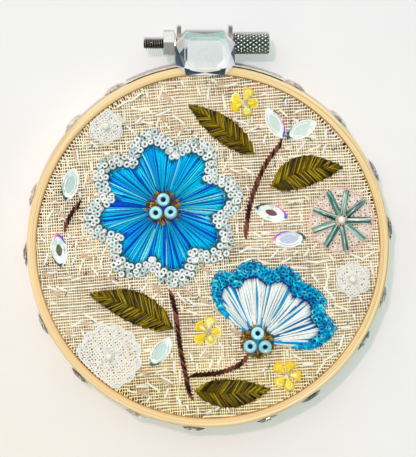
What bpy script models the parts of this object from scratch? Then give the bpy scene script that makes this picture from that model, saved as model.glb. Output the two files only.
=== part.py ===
"""Embroidered linen stretched in a round wooden hoop with a thumbscrew clamp.

The hoop lies on its back: the cloth faces up (+Z), the clamp is at +Y and the screw runs
along X. The origin is under the middle of the whole object, on the surface it lies on.
Places on the cloth are measured from the middle of the hoop.
"""

import math

import bmesh
import bpy
from mathutils import Matrix, Vector

MM = 0.001
GAP = 0.3 * MM  # between any two pieces that touch

# Hoop: two plain wooden rings, the outer one split at the clamp
RING_R = 55 * MM
RING_WALL = 2.8 * MM
RING_HEIGHT = 8 * MM
RING_STEP = 2 * MM  # the outer ring stands this far forward of the inner one
INNER_WALL = 3.2 * MM
RING_ROUNDING = 0.9 * MM
RING_SEGMENTS = 64
SPLIT_CENTRE_X = -0.95 * MM
SPLIT_WIDTH = 9 * MM

# Linen, drawn over the inner ring and down between the two
CLOTH_THICK = 1 * MM
CLOTH_R = RING_R - RING_WALL - GAP
CLOTH_EDGE_Z = 0.8 * MM
INNER_R = CLOTH_R - CLOTH_THICK - GAP
CLOTH_TOP = RING_HEIGHT + GAP + CLOTH_THICK
RING_TOP = RING_STEP + RING_HEIGHT

# Clamp
SCREW_Y = 61.9 * MM
SCREW_Z = RING_STEP + RING_HEIGHT / 2
ROD_R = 1.75 * MM
ROD_END_X = -19.6 * MM
KNOB_R = 3.2 * MM
KNOB_X = (7.8 * MM, 18.7 * MM)
KNOB_CHAMFER = 0.4 * MM
SCREW_SEGMENTS = 20
NUT_FLATS = 7 * MM
NUT_X = (-13.5 * MM, -10.2 * MM)
NUT_COLLAR_R = 2.7 * MM
NUT_COLLAR_END_X = -9.7 * MM
LUG_X = {"lug_left": -8.8 * MM, "lug_right": 6.9 * MM}
LUG_THICK = 1.2 * MM
LUG_TOP_Y = 67.2 * MM
LUG_WIDTH = 7.4 * MM
STRAP_THICK = 0.5 * MM
STRAP_REACH = 16 * MM

# Cut stone on the clamp: a flat-backed octagon
STONE_CENTRE = (-0.85 * MM, 58.4 * MM)
STONE_SIZE = (18 * MM, 13 * MM)
STONE_CORNER = 3.2 * MM
STONE_STEPS = ((0.5 * MM, 1.06), (0.6 * MM, 1.0), (1.6 * MM, 0.83), (1.3 * MM, 0.8))

# Boat-shaped stones round the rim: angle from +X, in degrees
RIM_STONE_ANGLES = (121, 138, 163.8, 182.8, 205.3, 225.3, 246.8, 265.5)
RIM_STONE_ANGLES += (289, 304.5, 328.8, 343.5, 5.5, 24.3, 44, 61.4)
RIM_STONE_LENGTH = 7 * MM
RIM_STONE_WIDTH = 3.6 * MM
RIM_STONE_STEPS = ((0.35 * MM, 1.0), (0.75 * MM, 0.55))

# Needlework. It lies on the cloth, and places and sizes in these tables are in millimetres.
WORK_Z = CLOTH_TOP + GAP
WORK_LIMIT_R = CLOTH_R - GAP
PAD_HEIGHT = 1.1 * MM
EDGING_HEIGHT = 1.8 * MM
LACE_HEIGHT = 1 * MM
STEM_R = 0.65 * MM

ROUND_FLOWER = {"centre": (-13.5, 11.5), "petals": 8, "tip": 19.4, "valley": 14.0, "turn": 0.2}
ROUND_EDGING = {"gap": 0.6, "width": 4.3}
HALF_FLOWER = {"base": (15, -29), "aim": 66, "half_angle": 73, "radius": 19.5, "lobes": 5}
HALF_FLOWER_HEART = 4.5
HALF_FLOWER_POINTS = 40
HALF_EDGING = {"gap": 0.8, "width": 3.5}
LOBE_DEPTH = 2.4

#     name          base             tip             width  bend
LEAVES = (
    ("leaf_left", (-10.6, -25), (-36, -14.5), 10.0, -1.5),
    ("leaf_low", (-4, -44), (19, -43.5), 9.0, -1.0),
    ("leaf_right", (19, 18), (41, 24), 10.0, 2.0),
    ("leaf_top", (14, 28), (-6, 43), 8.0, -0.5),
)

STEMS = {
    "stem_main": ((-11.2, -13.8), (-9.6, -22), (-8.4, -31), (-6.6, -40), (-5.4, -46)),
    "stem_half_flower": ((12.2, -33.4), (9.2, -36.2), (4.2, -38.2), (-0.6, -38.9), (-5.2, -39.2)),
    "stem_branch": ((11.2, 3), (13, 13.5), (17, 24), (22.4, 31.6)),
    "stem_twig": ((-38.8, 13), (-41.4, 10), (-43.8, 5.2)),
}

#     centre       direction in degrees
BUDS = (
    ((20.3, 37.4), 118),
    ((28.4, 35.4), 28),
    ((19.2, 10.2), -17),
    ((-41.8, 18.8), 75),
    ((-45.2, -1.2), 98),
    ((-14.4, -32.0), 235),
    ((24.6, 2.2), 5),
)
BUD_LENGTH = 10.5
BUD_WIDTH = 5.2
BUD_STEPS = ((0.6 * MM, 1.0), (1.8 * MM, 0.5))

YELLOW_FLOWERS = ((0, -26), (24, -39), (11, 43.6))
YELLOW_PETALS = 5
YELLOW_REACH = 4.7
YELLOW_HEART = 1.9
YELLOW_HEIGHT = 1 * MM

#     name                 centre         radius  scallops
LACES = (
    ("lace_rosette", (-30, -33.5), 10.0, 12),
    ("lace_flower_upper", (-31, 36.4), 5.6, 6),
    ("lace_flower_right", (44, -10), 5.6, 6),
    ("net_patch_pink", (40.5, 8), 10.4, 16),
)
SCALLOP_DEPTH = 0.9

BEAD_R = 2.1 * MM
BEAD_HOLE_R = 0.6 * MM
BEAD_HEIGHT = 2.6 * MM
BEAD_SPREAD = 2.62  # from the middle of a cluster of three to each bead

# The whole object is centred on the origin in Y, between the rim stones and the lugs
RIM_REACH = RING_R + GAP + sum(rise for rise, _ in RIM_STONE_STEPS)
HOOP_Y = (RIM_REACH - LUG_TOP_Y) / 2


def material(name, colour, roughness, metallic=0.0):
    made = bpy.data.materials.new(name)
    made.use_nodes = True
    shader = made.node_tree.nodes["Principled BSDF"]
    shader.inputs["Base Color"].default_value = (*colour, 1)
    shader.inputs["Roughness"].default_value = roughness
    shader.inputs["Metallic"].default_value = metallic
    return made


def clear_scene():
    for obj in list(bpy.data.objects):
        bpy.data.objects.remove(obj)


def new_collection(name):
    made = bpy.data.collections.new(name)
    bpy.context.scene.collection.children.link(made)
    return made


def add(name, data, look, place=(0, 0, 0)):
    """Puts a mesh or a curve in the hoop's collection, measured from the hoop's middle."""
    obj = bpy.data.objects.new(name, data)
    PARTS.objects.link(obj)
    obj.parent = HOOP
    obj.location = place
    data.materials.append(look)
    if obj.type == "MESH":
        data.shade_smooth()
        data.set_sharp_from_angle(angle=math.radians(35))
    return obj


def cutter(name, build):
    """A hidden mesh for a Boolean, made by a function that fills a bmesh."""
    shape = bmesh.new()
    build(shape)
    mesh = bpy.data.meshes.new(name)
    shape.to_mesh(mesh)
    shape.free()
    obj = bpy.data.objects.new(name, mesh)
    CUTTERS.objects.link(obj)
    obj.parent = HOOP
    obj.hide_render = True
    obj.display_type = "WIRE"
    return obj


def boolean(obj, other, operation):
    modifier = obj.modifiers.new(operation.lower(), "BOOLEAN")
    modifier.operation = operation
    modifier.object = other


def turned(name, profile, look, segments=RING_SEGMENTS, closed=True, axis="Z", place=(0, 0, 0)):
    """A profile of (radius, height) turned about Z or X, its outer side listed top to bottom."""
    mesh = bpy.data.meshes.new(name)
    count = len(profile)
    edges = [(i, (i + 1) % count) for i in range(count if closed else count - 1)]
    if axis == "Z":
        points = [(radius, 0, height) for radius, height in profile]
    else:
        points = [(height, radius, 0) for radius, height in profile]
    mesh.from_pydata(points, edges, [])
    obj = add(name, mesh, look, place)
    screw = obj.modifiers.new("turn", "SCREW")
    screw.axis = axis
    screw.steps = segments
    screw.render_steps = segments
    screw.use_merge_vertices = True
    screw.merge_threshold = 0.00001
    return obj


def stepped(name, outline, centre, base_z, steps, look):
    """An outline drawn up in steps of (rise, scale about the centre)."""
    shape = bmesh.new()
    face = shape.faces.new([shape.verts.new((x, y, base_z)) for x, y in outline])
    move = Matrix.Translation((-centre[0], -centre[1], 0))
    for step, (rise, scale) in enumerate(steps):
        made = bmesh.ops.extrude_face_region(shape, geom=[face])["geom"]
        if step > 0:
            bmesh.ops.delete(shape, geom=[face], context="FACES_ONLY")
        face = next(item for item in made if isinstance(item, bmesh.types.BMFace))
        bmesh.ops.translate(shape, verts=face.verts, vec=(0, 0, rise))
        bmesh.ops.scale(shape, verts=face.verts, vec=(scale, scale, 1), space=move)
    bmesh.ops.recalc_face_normals(shape, faces=shape.faces)
    mesh = bpy.data.meshes.new(name)
    shape.to_mesh(mesh)
    shape.free()
    return add(name, mesh, look)


def slab(name, outlines, base_z, thick, look):
    """Flat outlines, an inner one being a hole, given a thickness."""
    curve = bpy.data.curves.new(name, "CURVE")
    curve.dimensions = "2D"
    curve.fill_mode = "BOTH"
    curve.extrude = thick / 2
    for outline in outlines:
        spline = curve.splines.new("POLY")
        spline.points.add(len(outline) - 1)
        for point, (x, y) in zip(spline.points, outline):
            point.co = (x, y, 0, 1)
        spline.use_cyclic_u = True
    return add(name, curve, look, (0, 0, base_z + thick / 2))


def polar(centre, angles, radius_at):
    """Points round a centre, in metres, from a radius in millimetres for each angle."""
    return [
        (
            (centre[0] + radius_at(angle) * math.cos(angle)) * MM,
            (centre[1] + radius_at(angle) * math.sin(angle)) * MM,
        )
        for angle in angles
    ]


def full_circle(count):
    return [2 * math.pi * i / count for i in range(count)]


def in_metres(point):
    return point[0] * MM, point[1] * MM


def boat_outline(length, width, steps=6):
    """A pointed oval along X."""
    angles = [math.pi * (i + 0.5) / steps for i in range(steps)]
    upper = [(-length / 2 * math.cos(a), width / 2 * math.sin(a) ** 1.3) for a in angles]
    lower = [(x, -y) for x, y in reversed(upper)]
    return [(-length / 2, 0), *upper, (length / 2, 0), *lower]


def leaf_outline(base, tip, width, bend, steps=11):
    """A leaf from base to tip, in metres, widest just short of its middle."""
    start, along = Vector(base), Vector(tip) - Vector(base)
    side = Vector((-along.y, along.x)).normalized()
    upper, lower = [], []
    for i in range(1, steps):
        t = i / steps
        middle = start + along * t + side * bend * math.sin(math.pi * t)
        half = width / 2 * math.sin(math.pi * t**0.87) ** 0.8
        upper.append((middle + side * half) * MM)
        lower.append((middle - side * half) * MM)
    return [start * MM, *upper, (start + along) * MM, *reversed(lower)]


def smooth_route(points, steps=4):
    """A smooth curve through the points, as a list of points on it."""
    points = [Vector(p) for p in points]
    ends = [2 * points[0] - points[1], *points, 2 * points[-1] - points[-2]]
    route = []
    for a, b, c, d in zip(ends, ends[1:], ends[2:], ends[3:]):
        for i in range(steps):
            t = i / steps
            pull = (c - a) * t + (2 * a - 5 * b + 4 * c - d) * t**2
            route.append(b + (pull + (3 * b - a - 3 * c + d) * t**3) / 2)
    return [*route, points[-1]]


def build_rings():
    wood = material("wood", (0.80, 0.66, 0.40), 0.55)
    low, r = RING_STEP, RING_ROUNDING
    outer, bore = RING_R, RING_R - RING_WALL
    ring = turned(
        "outer_ring",
        [
            (outer - r, RING_TOP),
            (outer - 0.25 * r, RING_TOP - 0.3 * r),
            (outer, RING_TOP - r),
            (outer, low + r),
            (outer - r, low),
            (bore + 0.5 * r, low),
            (bore, low + 0.5 * r),
            (bore, RING_TOP - 0.5 * r),
            (bore + 0.5 * r, RING_TOP),
        ],
        wood,
    )

    def split(shape):
        place = Matrix.Translation((SPLIT_CENTRE_X, RING_R, SCREW_Z))
        size = Matrix.Diagonal((SPLIT_WIDTH, 4 * RING_WALL, 2 * RING_HEIGHT, 1))
        bmesh.ops.create_cube(shape, size=1, matrix=place @ size)

    boolean(ring, cutter("split_cutter", split), "DIFFERENCE")
    face = INNER_R - INNER_WALL
    turned(
        "inner_ring",
        [
            (INNER_R - 0.5 * r, RING_HEIGHT),
            (INNER_R, RING_HEIGHT - 0.5 * r),
            (INNER_R, 0),
            (face, 0),
            (face, RING_HEIGHT - 0.5 * r),
            (face + 0.5 * r, RING_HEIGHT),
        ],
        wood,
    )


def build_linen():
    thick = CLOTH_THICK
    turned(
        "linen",
        [
            (0, CLOTH_TOP),
            (CLOTH_R - thick, CLOTH_TOP),
            (CLOTH_R - 0.3 * thick, CLOTH_TOP - 0.3 * thick),
            (CLOTH_R, CLOTH_TOP - thick),
            (CLOTH_R, CLOTH_EDGE_Z),
            (CLOTH_R - thick, CLOTH_EDGE_Z),
            (CLOTH_R - thick, CLOTH_TOP - thick),
            (0, CLOTH_TOP - thick),
        ],
        material("linen", (0.72, 0.62, 0.46), 0.9),
        closed=False,
    )


def lug_outline(x, side):
    """A tab that stands off the ring at x, with its strap along the ring, seen from the front."""
    inner, outer = RING_R + GAP, RING_R + GAP + STRAP_THICK
    near, far = x - side * LUG_THICK / 2, x + side * LUG_THICK / 2
    start = math.acos(near / inner)
    end = math.acos((x + side * STRAP_REACH) / inner)
    corner = math.acos(far / outer)
    turn = [i / 5 for i in range(6)]
    under = [start + (end - start) * t for t in turn]
    over = [end + (corner - end) * t for t in turn]
    points = [(inner * math.cos(a), inner * math.sin(a)) for a in under]
    points += [(outer * math.cos(a), outer * math.sin(a)) for a in over]
    return [*points, (far, LUG_TOP_Y), (near, LUG_TOP_Y)]


def as_mesh(obj):
    """The curve object made a mesh, with its loose caps joined on, so that it can be cut."""
    graph = bpy.context.evaluated_depsgraph_get()
    mesh = bpy.data.meshes.new_from_object(obj.evaluated_get(graph))
    shape = bmesh.new()
    shape.from_mesh(mesh)
    bmesh.ops.remove_doubles(shape, verts=shape.verts, dist=0.000001)
    shape.to_mesh(mesh)
    shape.free()
    name, look, place = obj.name, obj.data.materials[0], obj.location.copy()
    bpy.data.objects.remove(obj)
    mesh.materials.clear()
    return add(name, mesh, look, place)


def cylinder_along_x(shape, radius, start, end, segments, twist=0.0):
    """A cylinder on the screw's axis."""
    place = Matrix.Translation(((start + end) / 2, SCREW_Y, SCREW_Z))
    turn = Matrix.Rotation(twist, 4, "X") @ Matrix.Rotation(math.pi / 2, 4, "Y")
    bmesh.ops.create_cone(
        shape,
        cap_ends=True,
        segments=segments,
        radius1=radius,
        radius2=radius,
        depth=end - start,
        matrix=place @ turn,
    )


def round_topped_plate(shape):
    """A plate as long as the hoop, whose end is a half-round about the lugs' top."""
    top_r = LUG_WIDTH / 2
    angles = [math.pi * i / 10 for i in range(11)]
    points = [(-top_r * math.cos(a), top_r * math.sin(a)) for a in angles]
    points += [(top_r, -LUG_TOP_Y), (-top_r, -LUG_TOP_Y)]
    face = shape.faces.new([shape.verts.new((z, y, -RING_R)) for z, y in points])
    made = bmesh.ops.extrude_face_region(shape, geom=[face])["geom"]
    verts = [item for item in made if isinstance(item, bmesh.types.BMVert)]
    bmesh.ops.translate(shape, verts=verts, vec=(0, 0, 2 * RING_R))
    turn = Matrix.Rotation(math.pi / 2, 4, "Y")
    place = Matrix.Translation((0, LUG_TOP_Y - top_r, SCREW_Z))
    bmesh.ops.transform(shape, matrix=place @ turn, verts=shape.verts)
    bmesh.ops.recalc_face_normals(shape, faces=shape.faces)


def build_lugs():
    steel = material("nickel_plate", (0.72, 0.70, 0.68), 0.3, 1.0)
    plate = cutter("lug_round_top", round_topped_plate)

    def hole(shape):
        cylinder_along_x(shape, ROD_R + GAP, -STRAP_REACH, STRAP_REACH, SCREW_SEGMENTS)

    holes = cutter("lug_holes", hole)
    for name, x in LUG_X.items():
        outline = lug_outline(x, math.copysign(1, x))
        lug = as_mesh(slab(name, [outline], SCREW_Z - LUG_WIDTH / 2, LUG_WIDTH, steel))
        boolean(lug, plate, "INTERSECT")
        boolean(lug, holes, "DIFFERENCE")


def build_screw():
    """The knurled thumbscrew, turned in one piece, with its origin on its axis."""
    start, end = KNOB_X
    bevel = KNOB_CHAMFER
    turned(
        "thumbscrew",
        [
            (0, end),
            (KNOB_R - bevel, end),
            (KNOB_R, end - bevel),
            (KNOB_R, start + bevel),
            (KNOB_R - bevel, start),
            (ROD_R, start),
            (ROD_R, ROD_END_X + bevel),
            (ROD_R - bevel, ROD_END_X),
            (0, ROD_END_X),
        ],
        material("screw_steel", (0.62, 0.63, 0.62), 0.25, 1.0),
        segments=SCREW_SEGMENTS,
        closed=False,
        axis="X",
        place=(0, SCREW_Y, SCREW_Z),
    )


def build_nut():
    corner_r = NUT_FLATS / 2 / math.cos(math.pi / 6)
    shape = bmesh.new()
    cylinder_along_x(shape, corner_r, *NUT_X, 6, math.pi / 6)
    mesh = bpy.data.meshes.new("hex_nut")
    shape.to_mesh(mesh)
    shape.free()
    nut = add("hex_nut", mesh, material("nut_steel", (0.75, 0.74, 0.70), 0.22, 1.0))
    middle = sum(NUT_X) / 2

    def collar(cut):
        cylinder_along_x(cut, NUT_COLLAR_R, middle, NUT_COLLAR_END_X, SCREW_SEGMENTS)

    def thread(cut):
        cylinder_along_x(cut, ROD_R + GAP, 2 * NUT_X[0], 0, SCREW_SEGMENTS)

    boolean(nut, cutter("nut_collar", collar), "UNION")
    boolean(nut, cutter("nut_thread", thread), "DIFFERENCE")


def build_stones():
    glass = material("clear_stone", (0.86, 0.90, 0.92), 0.05)
    length, width = STONE_SIZE
    x, y, cut = length / 2, width / 2, STONE_CORNER
    corners = [(x - cut, y), (x, y - cut), (x, cut - y), (x - cut, -y)]
    corners += [(-a, -b) for a, b in corners]
    first_scale = 1 / STONE_STEPS[0][1]
    cx, cy = STONE_CENTRE
    outline = [(cx + a * first_scale, cy + b * first_scale) for a, b in corners]
    stepped("crystal", outline, STONE_CENTRE, RING_TOP + GAP, STONE_STEPS, glass)

    rim_outline = boat_outline(RIM_STONE_LENGTH, RIM_STONE_WIDTH)
    mesh = None
    for number, degrees in enumerate(RIM_STONE_ANGLES, 1):
        name = f"rim_stone_{number:02d}"
        if mesh is None:
            stone = stepped(name, rim_outline, (0, 0), 0, RIM_STONE_STEPS, glass)
            mesh = stone.data
        else:
            stone = add(name, mesh, glass)
            mesh.materials.pop()
        angle = math.radians(degrees)
        out = RING_R + GAP
        stone.location = (out * math.cos(angle), out * math.sin(angle), SCREW_Z)
        # Its face turns outwards and its length along the rim
        upright = Matrix.Rotation(math.pi / 2, 3, "Y") @ Matrix.Rotation(math.pi / 2, 3, "Z")
        stone.rotation_euler = (Matrix.Rotation(angle, 3, "Z") @ upright).to_euler()

    outline = boat_outline(BUD_LENGTH * MM, BUD_WIDTH * MM)
    for number, (centre, degrees) in enumerate(BUDS, 1):
        bud = stepped(f"bud_stone_{number}", outline, (0, 0), 0, BUD_STEPS, glass)
        bud.location = (*in_metres(centre), WORK_Z)
        bud.rotation_euler.z = math.radians(degrees)


def petal_radius(angle, extra=0.0):
    flower = ROUND_FLOWER
    swing = abs(math.cos(flower["petals"] * (angle - flower["turn"]) / 2))
    return flower["valley"] + (flower["tip"] - flower["valley"]) * swing + extra


def half_flower_edge(extra=0.0):
    """The scalloped edge of the half-flower, from its right end round to its left."""
    flower = HALF_FLOWER
    aim, half = math.radians(flower["aim"]), math.radians(flower["half_angle"])

    def radius(angle):
        share = (angle - aim + half) / (2 * half)
        scallop = LOBE_DEPTH * (abs(math.sin(math.pi * flower["lobes"] * share)) - 1)
        ends = min(1, 8 * min(share, 1 - share) + 0.001) ** 0.5
        return (flower["radius"] + scallop) * (0.55 + 0.45 * ends) + extra

    sweep = [aim - half + 2 * half * i / HALF_FLOWER_POINTS for i in range(HALF_FLOWER_POINTS + 1)]
    return polar(flower["base"], sweep, radius)


def half_flower_heart():
    """The small round heart behind the half-flower's base, from its left end to its right."""
    flower = HALF_FLOWER
    aim, half = math.radians(flower["aim"]), math.radians(flower["half_angle"])
    sweep = [aim + half + 2 * (math.pi - half) * i / 16 for i in range(17)]
    return polar(flower["base"], sweep, lambda angle: HALF_FLOWER_HEART)


def bead_cluster(name, centre, look):
    """Three round drilled beads in a triangle, their holes upright."""
    half = BEAD_HEIGHT / 2
    outer = ((0.5, 1.0), (0.82, 0.74), (1.0, 0.26), (1.0, -0.26), (0.82, -0.74), (0.5, -1.0))
    profile = [(BEAD_R * a, half * b) for a, b in outer]
    profile += [(BEAD_HOLE_R, -0.8 * half), (BEAD_HOLE_R, 0.8 * half)]
    for number in range(3):
        angle = math.radians(90 + 120 * number)
        x = (centre[0] + BEAD_SPREAD * math.cos(angle)) * MM
        y = (centre[1] + BEAD_SPREAD * math.sin(angle)) * MM
        place = (x, y, WORK_Z + PAD_HEIGHT + GAP + half)
        turned(f"{name}_{number + 1}", profile, look, segments=14, place=place)


def build_round_flower():
    blue = material("turquoise_thread", (0.10, 0.45, 0.72), 0.5)
    beads = material("pale_beads", (0.62, 0.78, 0.84), 0.3)
    centre, count = ROUND_FLOWER["centre"], 8 * ROUND_FLOWER["petals"]
    angles = full_circle(count)
    outline = polar(centre, angles, petal_radius)
    steps = ((0.6 * PAD_HEIGHT, 1.0), (0.4 * PAD_HEIGHT, 0.94))
    stepped("round_flower", outline, in_metres(centre), WORK_Z, steps, blue)
    inner = ROUND_EDGING["gap"]
    outer = inner + ROUND_EDGING["width"]
    edges = [polar(centre, angles, lambda a, e=extra: petal_radius(a, e)) for extra in (outer, inner)]
    slab("round_flower_edging", edges, WORK_Z, EDGING_HEIGHT, beads)
    bead_cluster("round_flower_bead", centre, material("round_bead", (0.45, 0.70, 0.75), 0.2))


def build_half_flower():
    white = material("white_blue_thread", (0.75, 0.82, 0.90), 0.5)
    knots = material("blue_knots", (0.05, 0.28, 0.60), 0.6)
    centre = HALF_FLOWER["base"]
    outline = half_flower_edge() + half_flower_heart()
    steps = ((0.6 * PAD_HEIGHT, 1.0), (0.4 * PAD_HEIGHT, 0.92))
    stepped("half_flower", outline, in_metres(centre), WORK_Z, steps, white)
    inner = HALF_EDGING["gap"]
    band = half_flower_edge(inner + HALF_EDGING["width"]) + half_flower_edge(inner)[::-1]
    slab("half_flower_edging", [band], WORK_Z, EDGING_HEIGHT, knots)
    bead_cluster("half_flower_bead", centre, material("half_bead", (0.45, 0.70, 0.75), 0.2))


def build_leaves_and_stems():
    olive = material("olive_thread", (0.22, 0.20, 0.02), 0.6)
    brown = material("brown_thread", (0.14, 0.05, 0.03), 0.7)
    steps = ((0.5 * PAD_HEIGHT, 1.0), (0.5 * PAD_HEIGHT, 0.8))
    for name, base, tip, width, bend in LEAVES:
        middle = [(a + b) / 2 for a, b in zip(base, tip)]
        outline = leaf_outline(base, tip, width, bend)
        stepped(name, outline, in_metres(middle), WORK_Z, steps, olive)
    for name, points in STEMS.items():
        curve = bpy.data.curves.new(name, "CURVE")
        curve.dimensions = "3D"
        curve.bevel_depth = STEM_R
        curve.bevel_resolution = 1
        curve.use_fill_caps = True
        route = smooth_route(points)
        spline = curve.splines.new("POLY")
        spline.points.add(len(route) - 1)
        for point, place in zip(spline.points, route):
            point.co = (*(place * MM), 0, 1)
        add(name, curve, brown, (0, 0, WORK_Z + STEM_R))


def build_yellow_flowers():
    yellow = material("yellow_thread", (0.85, 0.60, 0.08), 0.6)

    def radius(angle):
        swing = abs(math.cos(YELLOW_PETALS * angle / 2))
        return YELLOW_HEART + (YELLOW_REACH - YELLOW_HEART) * swing

    for number, centre in enumerate(YELLOW_FLOWERS, 1):
        outline = polar(centre, full_circle(6 * YELLOW_PETALS), radius)
        slab(f"yellow_flower_{number}", [outline], WORK_Z, YELLOW_HEIGHT, yellow)


def inside_ring(point):
    """The point, drawn in along its radius where it would pass under the outer ring."""
    place = Vector(point)
    return tuple(place * min(1, WORK_LIMIT_R / place.length))


def build_laces():
    white = material("white_lace", (0.85, 0.83, 0.78), 0.8)
    pink = material("pink_net", (0.88, 0.66, 0.60), 0.8)
    for name, centre, size, scallops in LACES:
        look = pink if "pink" in name else white

        def radius(angle):
            return size - SCALLOP_DEPTH * (1 - abs(math.sin(scallops * angle / 2)))

        outline = polar(centre, full_circle(3 * scallops), radius)
        slab(name, [[inside_ring(p) for p in outline]], WORK_Z, LACE_HEIGHT, look)


clear_scene()
PARTS = new_collection("hoop_embroidery")
CUTTERS = new_collection("cutters")
HOOP = bpy.data.objects.new("hoop_middle", None)
PARTS.objects.link(HOOP)
HOOP.location = (0, HOOP_Y, 0)
build_rings()
build_linen()
build_lugs()
build_screw()
build_nut()
build_stones()
build_round_flower()
build_half_flower()
build_leaves_and_stems()
build_yellow_flowers()
build_laces()
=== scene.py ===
"""The looks of the embroidered linen in its wooden hoop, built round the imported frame.

Every piece is made in millimetres, measured from the middle of the hoop, and then moved into
the frame's metres. Up is +Z, off the cloth, and the clamp is at +Y. Hexadecimal colours are
as they look on a screen, and colours in numbers are linear.
"""

import math

import bmesh
import bpy
import numpy as np
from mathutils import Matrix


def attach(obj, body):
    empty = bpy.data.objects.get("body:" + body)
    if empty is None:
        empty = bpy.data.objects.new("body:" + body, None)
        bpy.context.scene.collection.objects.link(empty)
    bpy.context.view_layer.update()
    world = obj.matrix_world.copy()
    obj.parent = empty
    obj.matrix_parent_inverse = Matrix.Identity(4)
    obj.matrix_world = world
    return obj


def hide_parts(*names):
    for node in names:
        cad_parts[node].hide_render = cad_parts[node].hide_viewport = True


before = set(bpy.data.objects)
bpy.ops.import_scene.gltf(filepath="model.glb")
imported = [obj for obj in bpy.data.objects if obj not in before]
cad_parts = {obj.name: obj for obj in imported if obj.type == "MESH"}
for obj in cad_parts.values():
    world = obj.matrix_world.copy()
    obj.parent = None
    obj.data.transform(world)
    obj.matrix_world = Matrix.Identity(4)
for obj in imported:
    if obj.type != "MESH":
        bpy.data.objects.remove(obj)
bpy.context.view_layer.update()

MM = 0.001
TAU = 2 * math.pi

# Sizes of the hoop, its cloth and its clamp, as in the solids

RING_R, RING_WALL, RING_LOW, RING_TOP = 55.0, 2.8, 2.0, 10.0
BORE_R = RING_R - RING_WALL
INNER_R, INNER_WALL, INNER_TOP = 50.6, 3.2, 8.0
SPLIT_X, SPLIT_HALF = -0.95, 4.5
CLOTH_R, CLOTH_SKIRT_R, CLOTH_EDGE_Z, CLOTH_TOP = 51.9, 50.9, 0.8, 9.3
SCREW_Y, SCREW_Z = 61.9, 6.0
ROD_R, ROD_END_X = 1.75, -19.6
KNOB_R, KNOB_START, KNOB_END = 3.2, 7.8, 18.7
RIM_REACH, LUG_TOP_Y = 56.4, 67.2
HOOP_Y = (RIM_REACH - LUG_TOP_Y) / 2

# Places of the needlework and the stones, as in the solids

WORK_Z = 9.6
PAD_LOW, PAD_HIGH, PAD_TOP = 9.42, 10.25, WORK_Z + 1.1
WORK_LIMIT_R = 51.6
STONE_CENTRE, STONE_SIZE, STONE_CORNER = (-0.85, 58.4), (18.0, 13.0), 3.2
RIM_STONE_ANGLES = (121, 138, 163.8, 182.8, 205.3, 225.3, 246.8, 265.5)
RIM_STONE_ANGLES += (289, 304.5, 328.8, 343.5, 5.5, 24.3, 44, 61.4)
BUDS = (
    ((20.3, 37.4), 118),
    ((28.4, 35.4), 28),
    ((19.2, 10.2), -17),
    ((-41.8, 18.8), 75),
    ((-45.2, -1.2), 98),
    ((-14.4, -32.0), 235),
    ((24.6, 2.2), 5),
)
FLOWER_CENTRE, FLOWER_PETALS, FLOWER_TIP, FLOWER_VALLEY, FLOWER_TURN = (-13.5, 11.5), 8, 19.4, 14.0, 0.2
HALF_BASE, HALF_AIM, HALF_SPREAD = (15.0, -29.0), math.radians(66), math.radians(73)
HALF_START, HALF_END = HALF_AIM - HALF_SPREAD, HALF_AIM + HALF_SPREAD
HALF_RADIUS, HALF_LOBES, HALF_LOBE_DEPTH, HALF_HEART = 19.5, 5, 2.4, 4.5
LEAVES = {
    "leaf_left": ((-10.6, -25), (-36, -14.5), 10.0, -1.5),
    "leaf_low": ((-4, -44), (19, -43.5), 9.0, -1.0),
    "leaf_right": ((19, 18), (41, 24), 10.0, 2.0),
    "leaf_top": ((14, 28), (-6, 43), 8.0, -0.5),
}
STEMS = {
    "stem_main": ((-11.2, -13.8), (-9.6, -22), (-8.4, -31), (-6.6, -40), (-5.4, -46)),
    "stem_half_flower": ((12.2, -33.4), (9.2, -36.2), (4.2, -38.2), (-0.6, -38.9), (-5.2, -39.2)),
    "stem_branch": ((11.2, 3), (13, 13.5), (17, 24), (22.4, 31.6)),
    "stem_twig": ((-38.8, 13), (-41.4, 10), (-43.8, 5.2)),
}
YELLOW_FLOWERS = ((0, -26), (24, -39), (11, 43.6))
YELLOW_REACH = 4.7
LACES = {
    "lace_rosette": ((-30, -33.5), 10.0, 12),
    "lace_flower_upper": ((-31, 36.4), 5.6, 6),
    "lace_flower_right": ((44, -10), 5.6, 6),
}
NET = ((40.5, 8), 10.4, 16)
SCALLOP_DEPTH = 0.9
BEAD_R, BEAD_HOLE_R, BEAD_HEIGHT, BEAD_SPREAD = 2.1, 0.6, 2.6, 2.62


def paint(code):
    """A screen colour in hexadecimal, as the linear values that shaders take."""
    shares = np.frombuffer(bytes.fromhex(code), np.uint8) / 255
    return tuple(np.where(shares <= 0.04045, shares / 12.92, ((shares + 0.055) / 1.055) ** 2.4))


def paints(codes):
    return [paint(code) for code in codes.split()]


# Places on the cloth


def compass(angles):
    """Unit vectors at angles from +X."""
    return np.stack([np.cos(angles), np.sin(angles)], axis=-1)


def circle(count):
    return TAU * np.arange(count) / count


def arch(t):
    """Nothing at both ends of 0 to 1, and 1 half way."""
    return np.sin(math.pi * t)


def around(centre, angles, radii):
    return centre + np.asarray(radii, float)[..., None] * compass(angles)


def left_of(way):
    return np.stack([-way[..., 1], way[..., 0]], axis=-1)


def lines(spots, ways, t):
    """Straight lines, as many as there are spots, with points at t times the way from each."""
    return spots[:, None] + ways[:, None] * t[:, None]


def lift(spots, height):
    """Flat spots, raised to one height or each to its own."""
    spots = np.asarray(spots, float)
    return np.concatenate([spots, np.broadcast_to(height, spots.shape[:-1])[..., None]], axis=-1)


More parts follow.
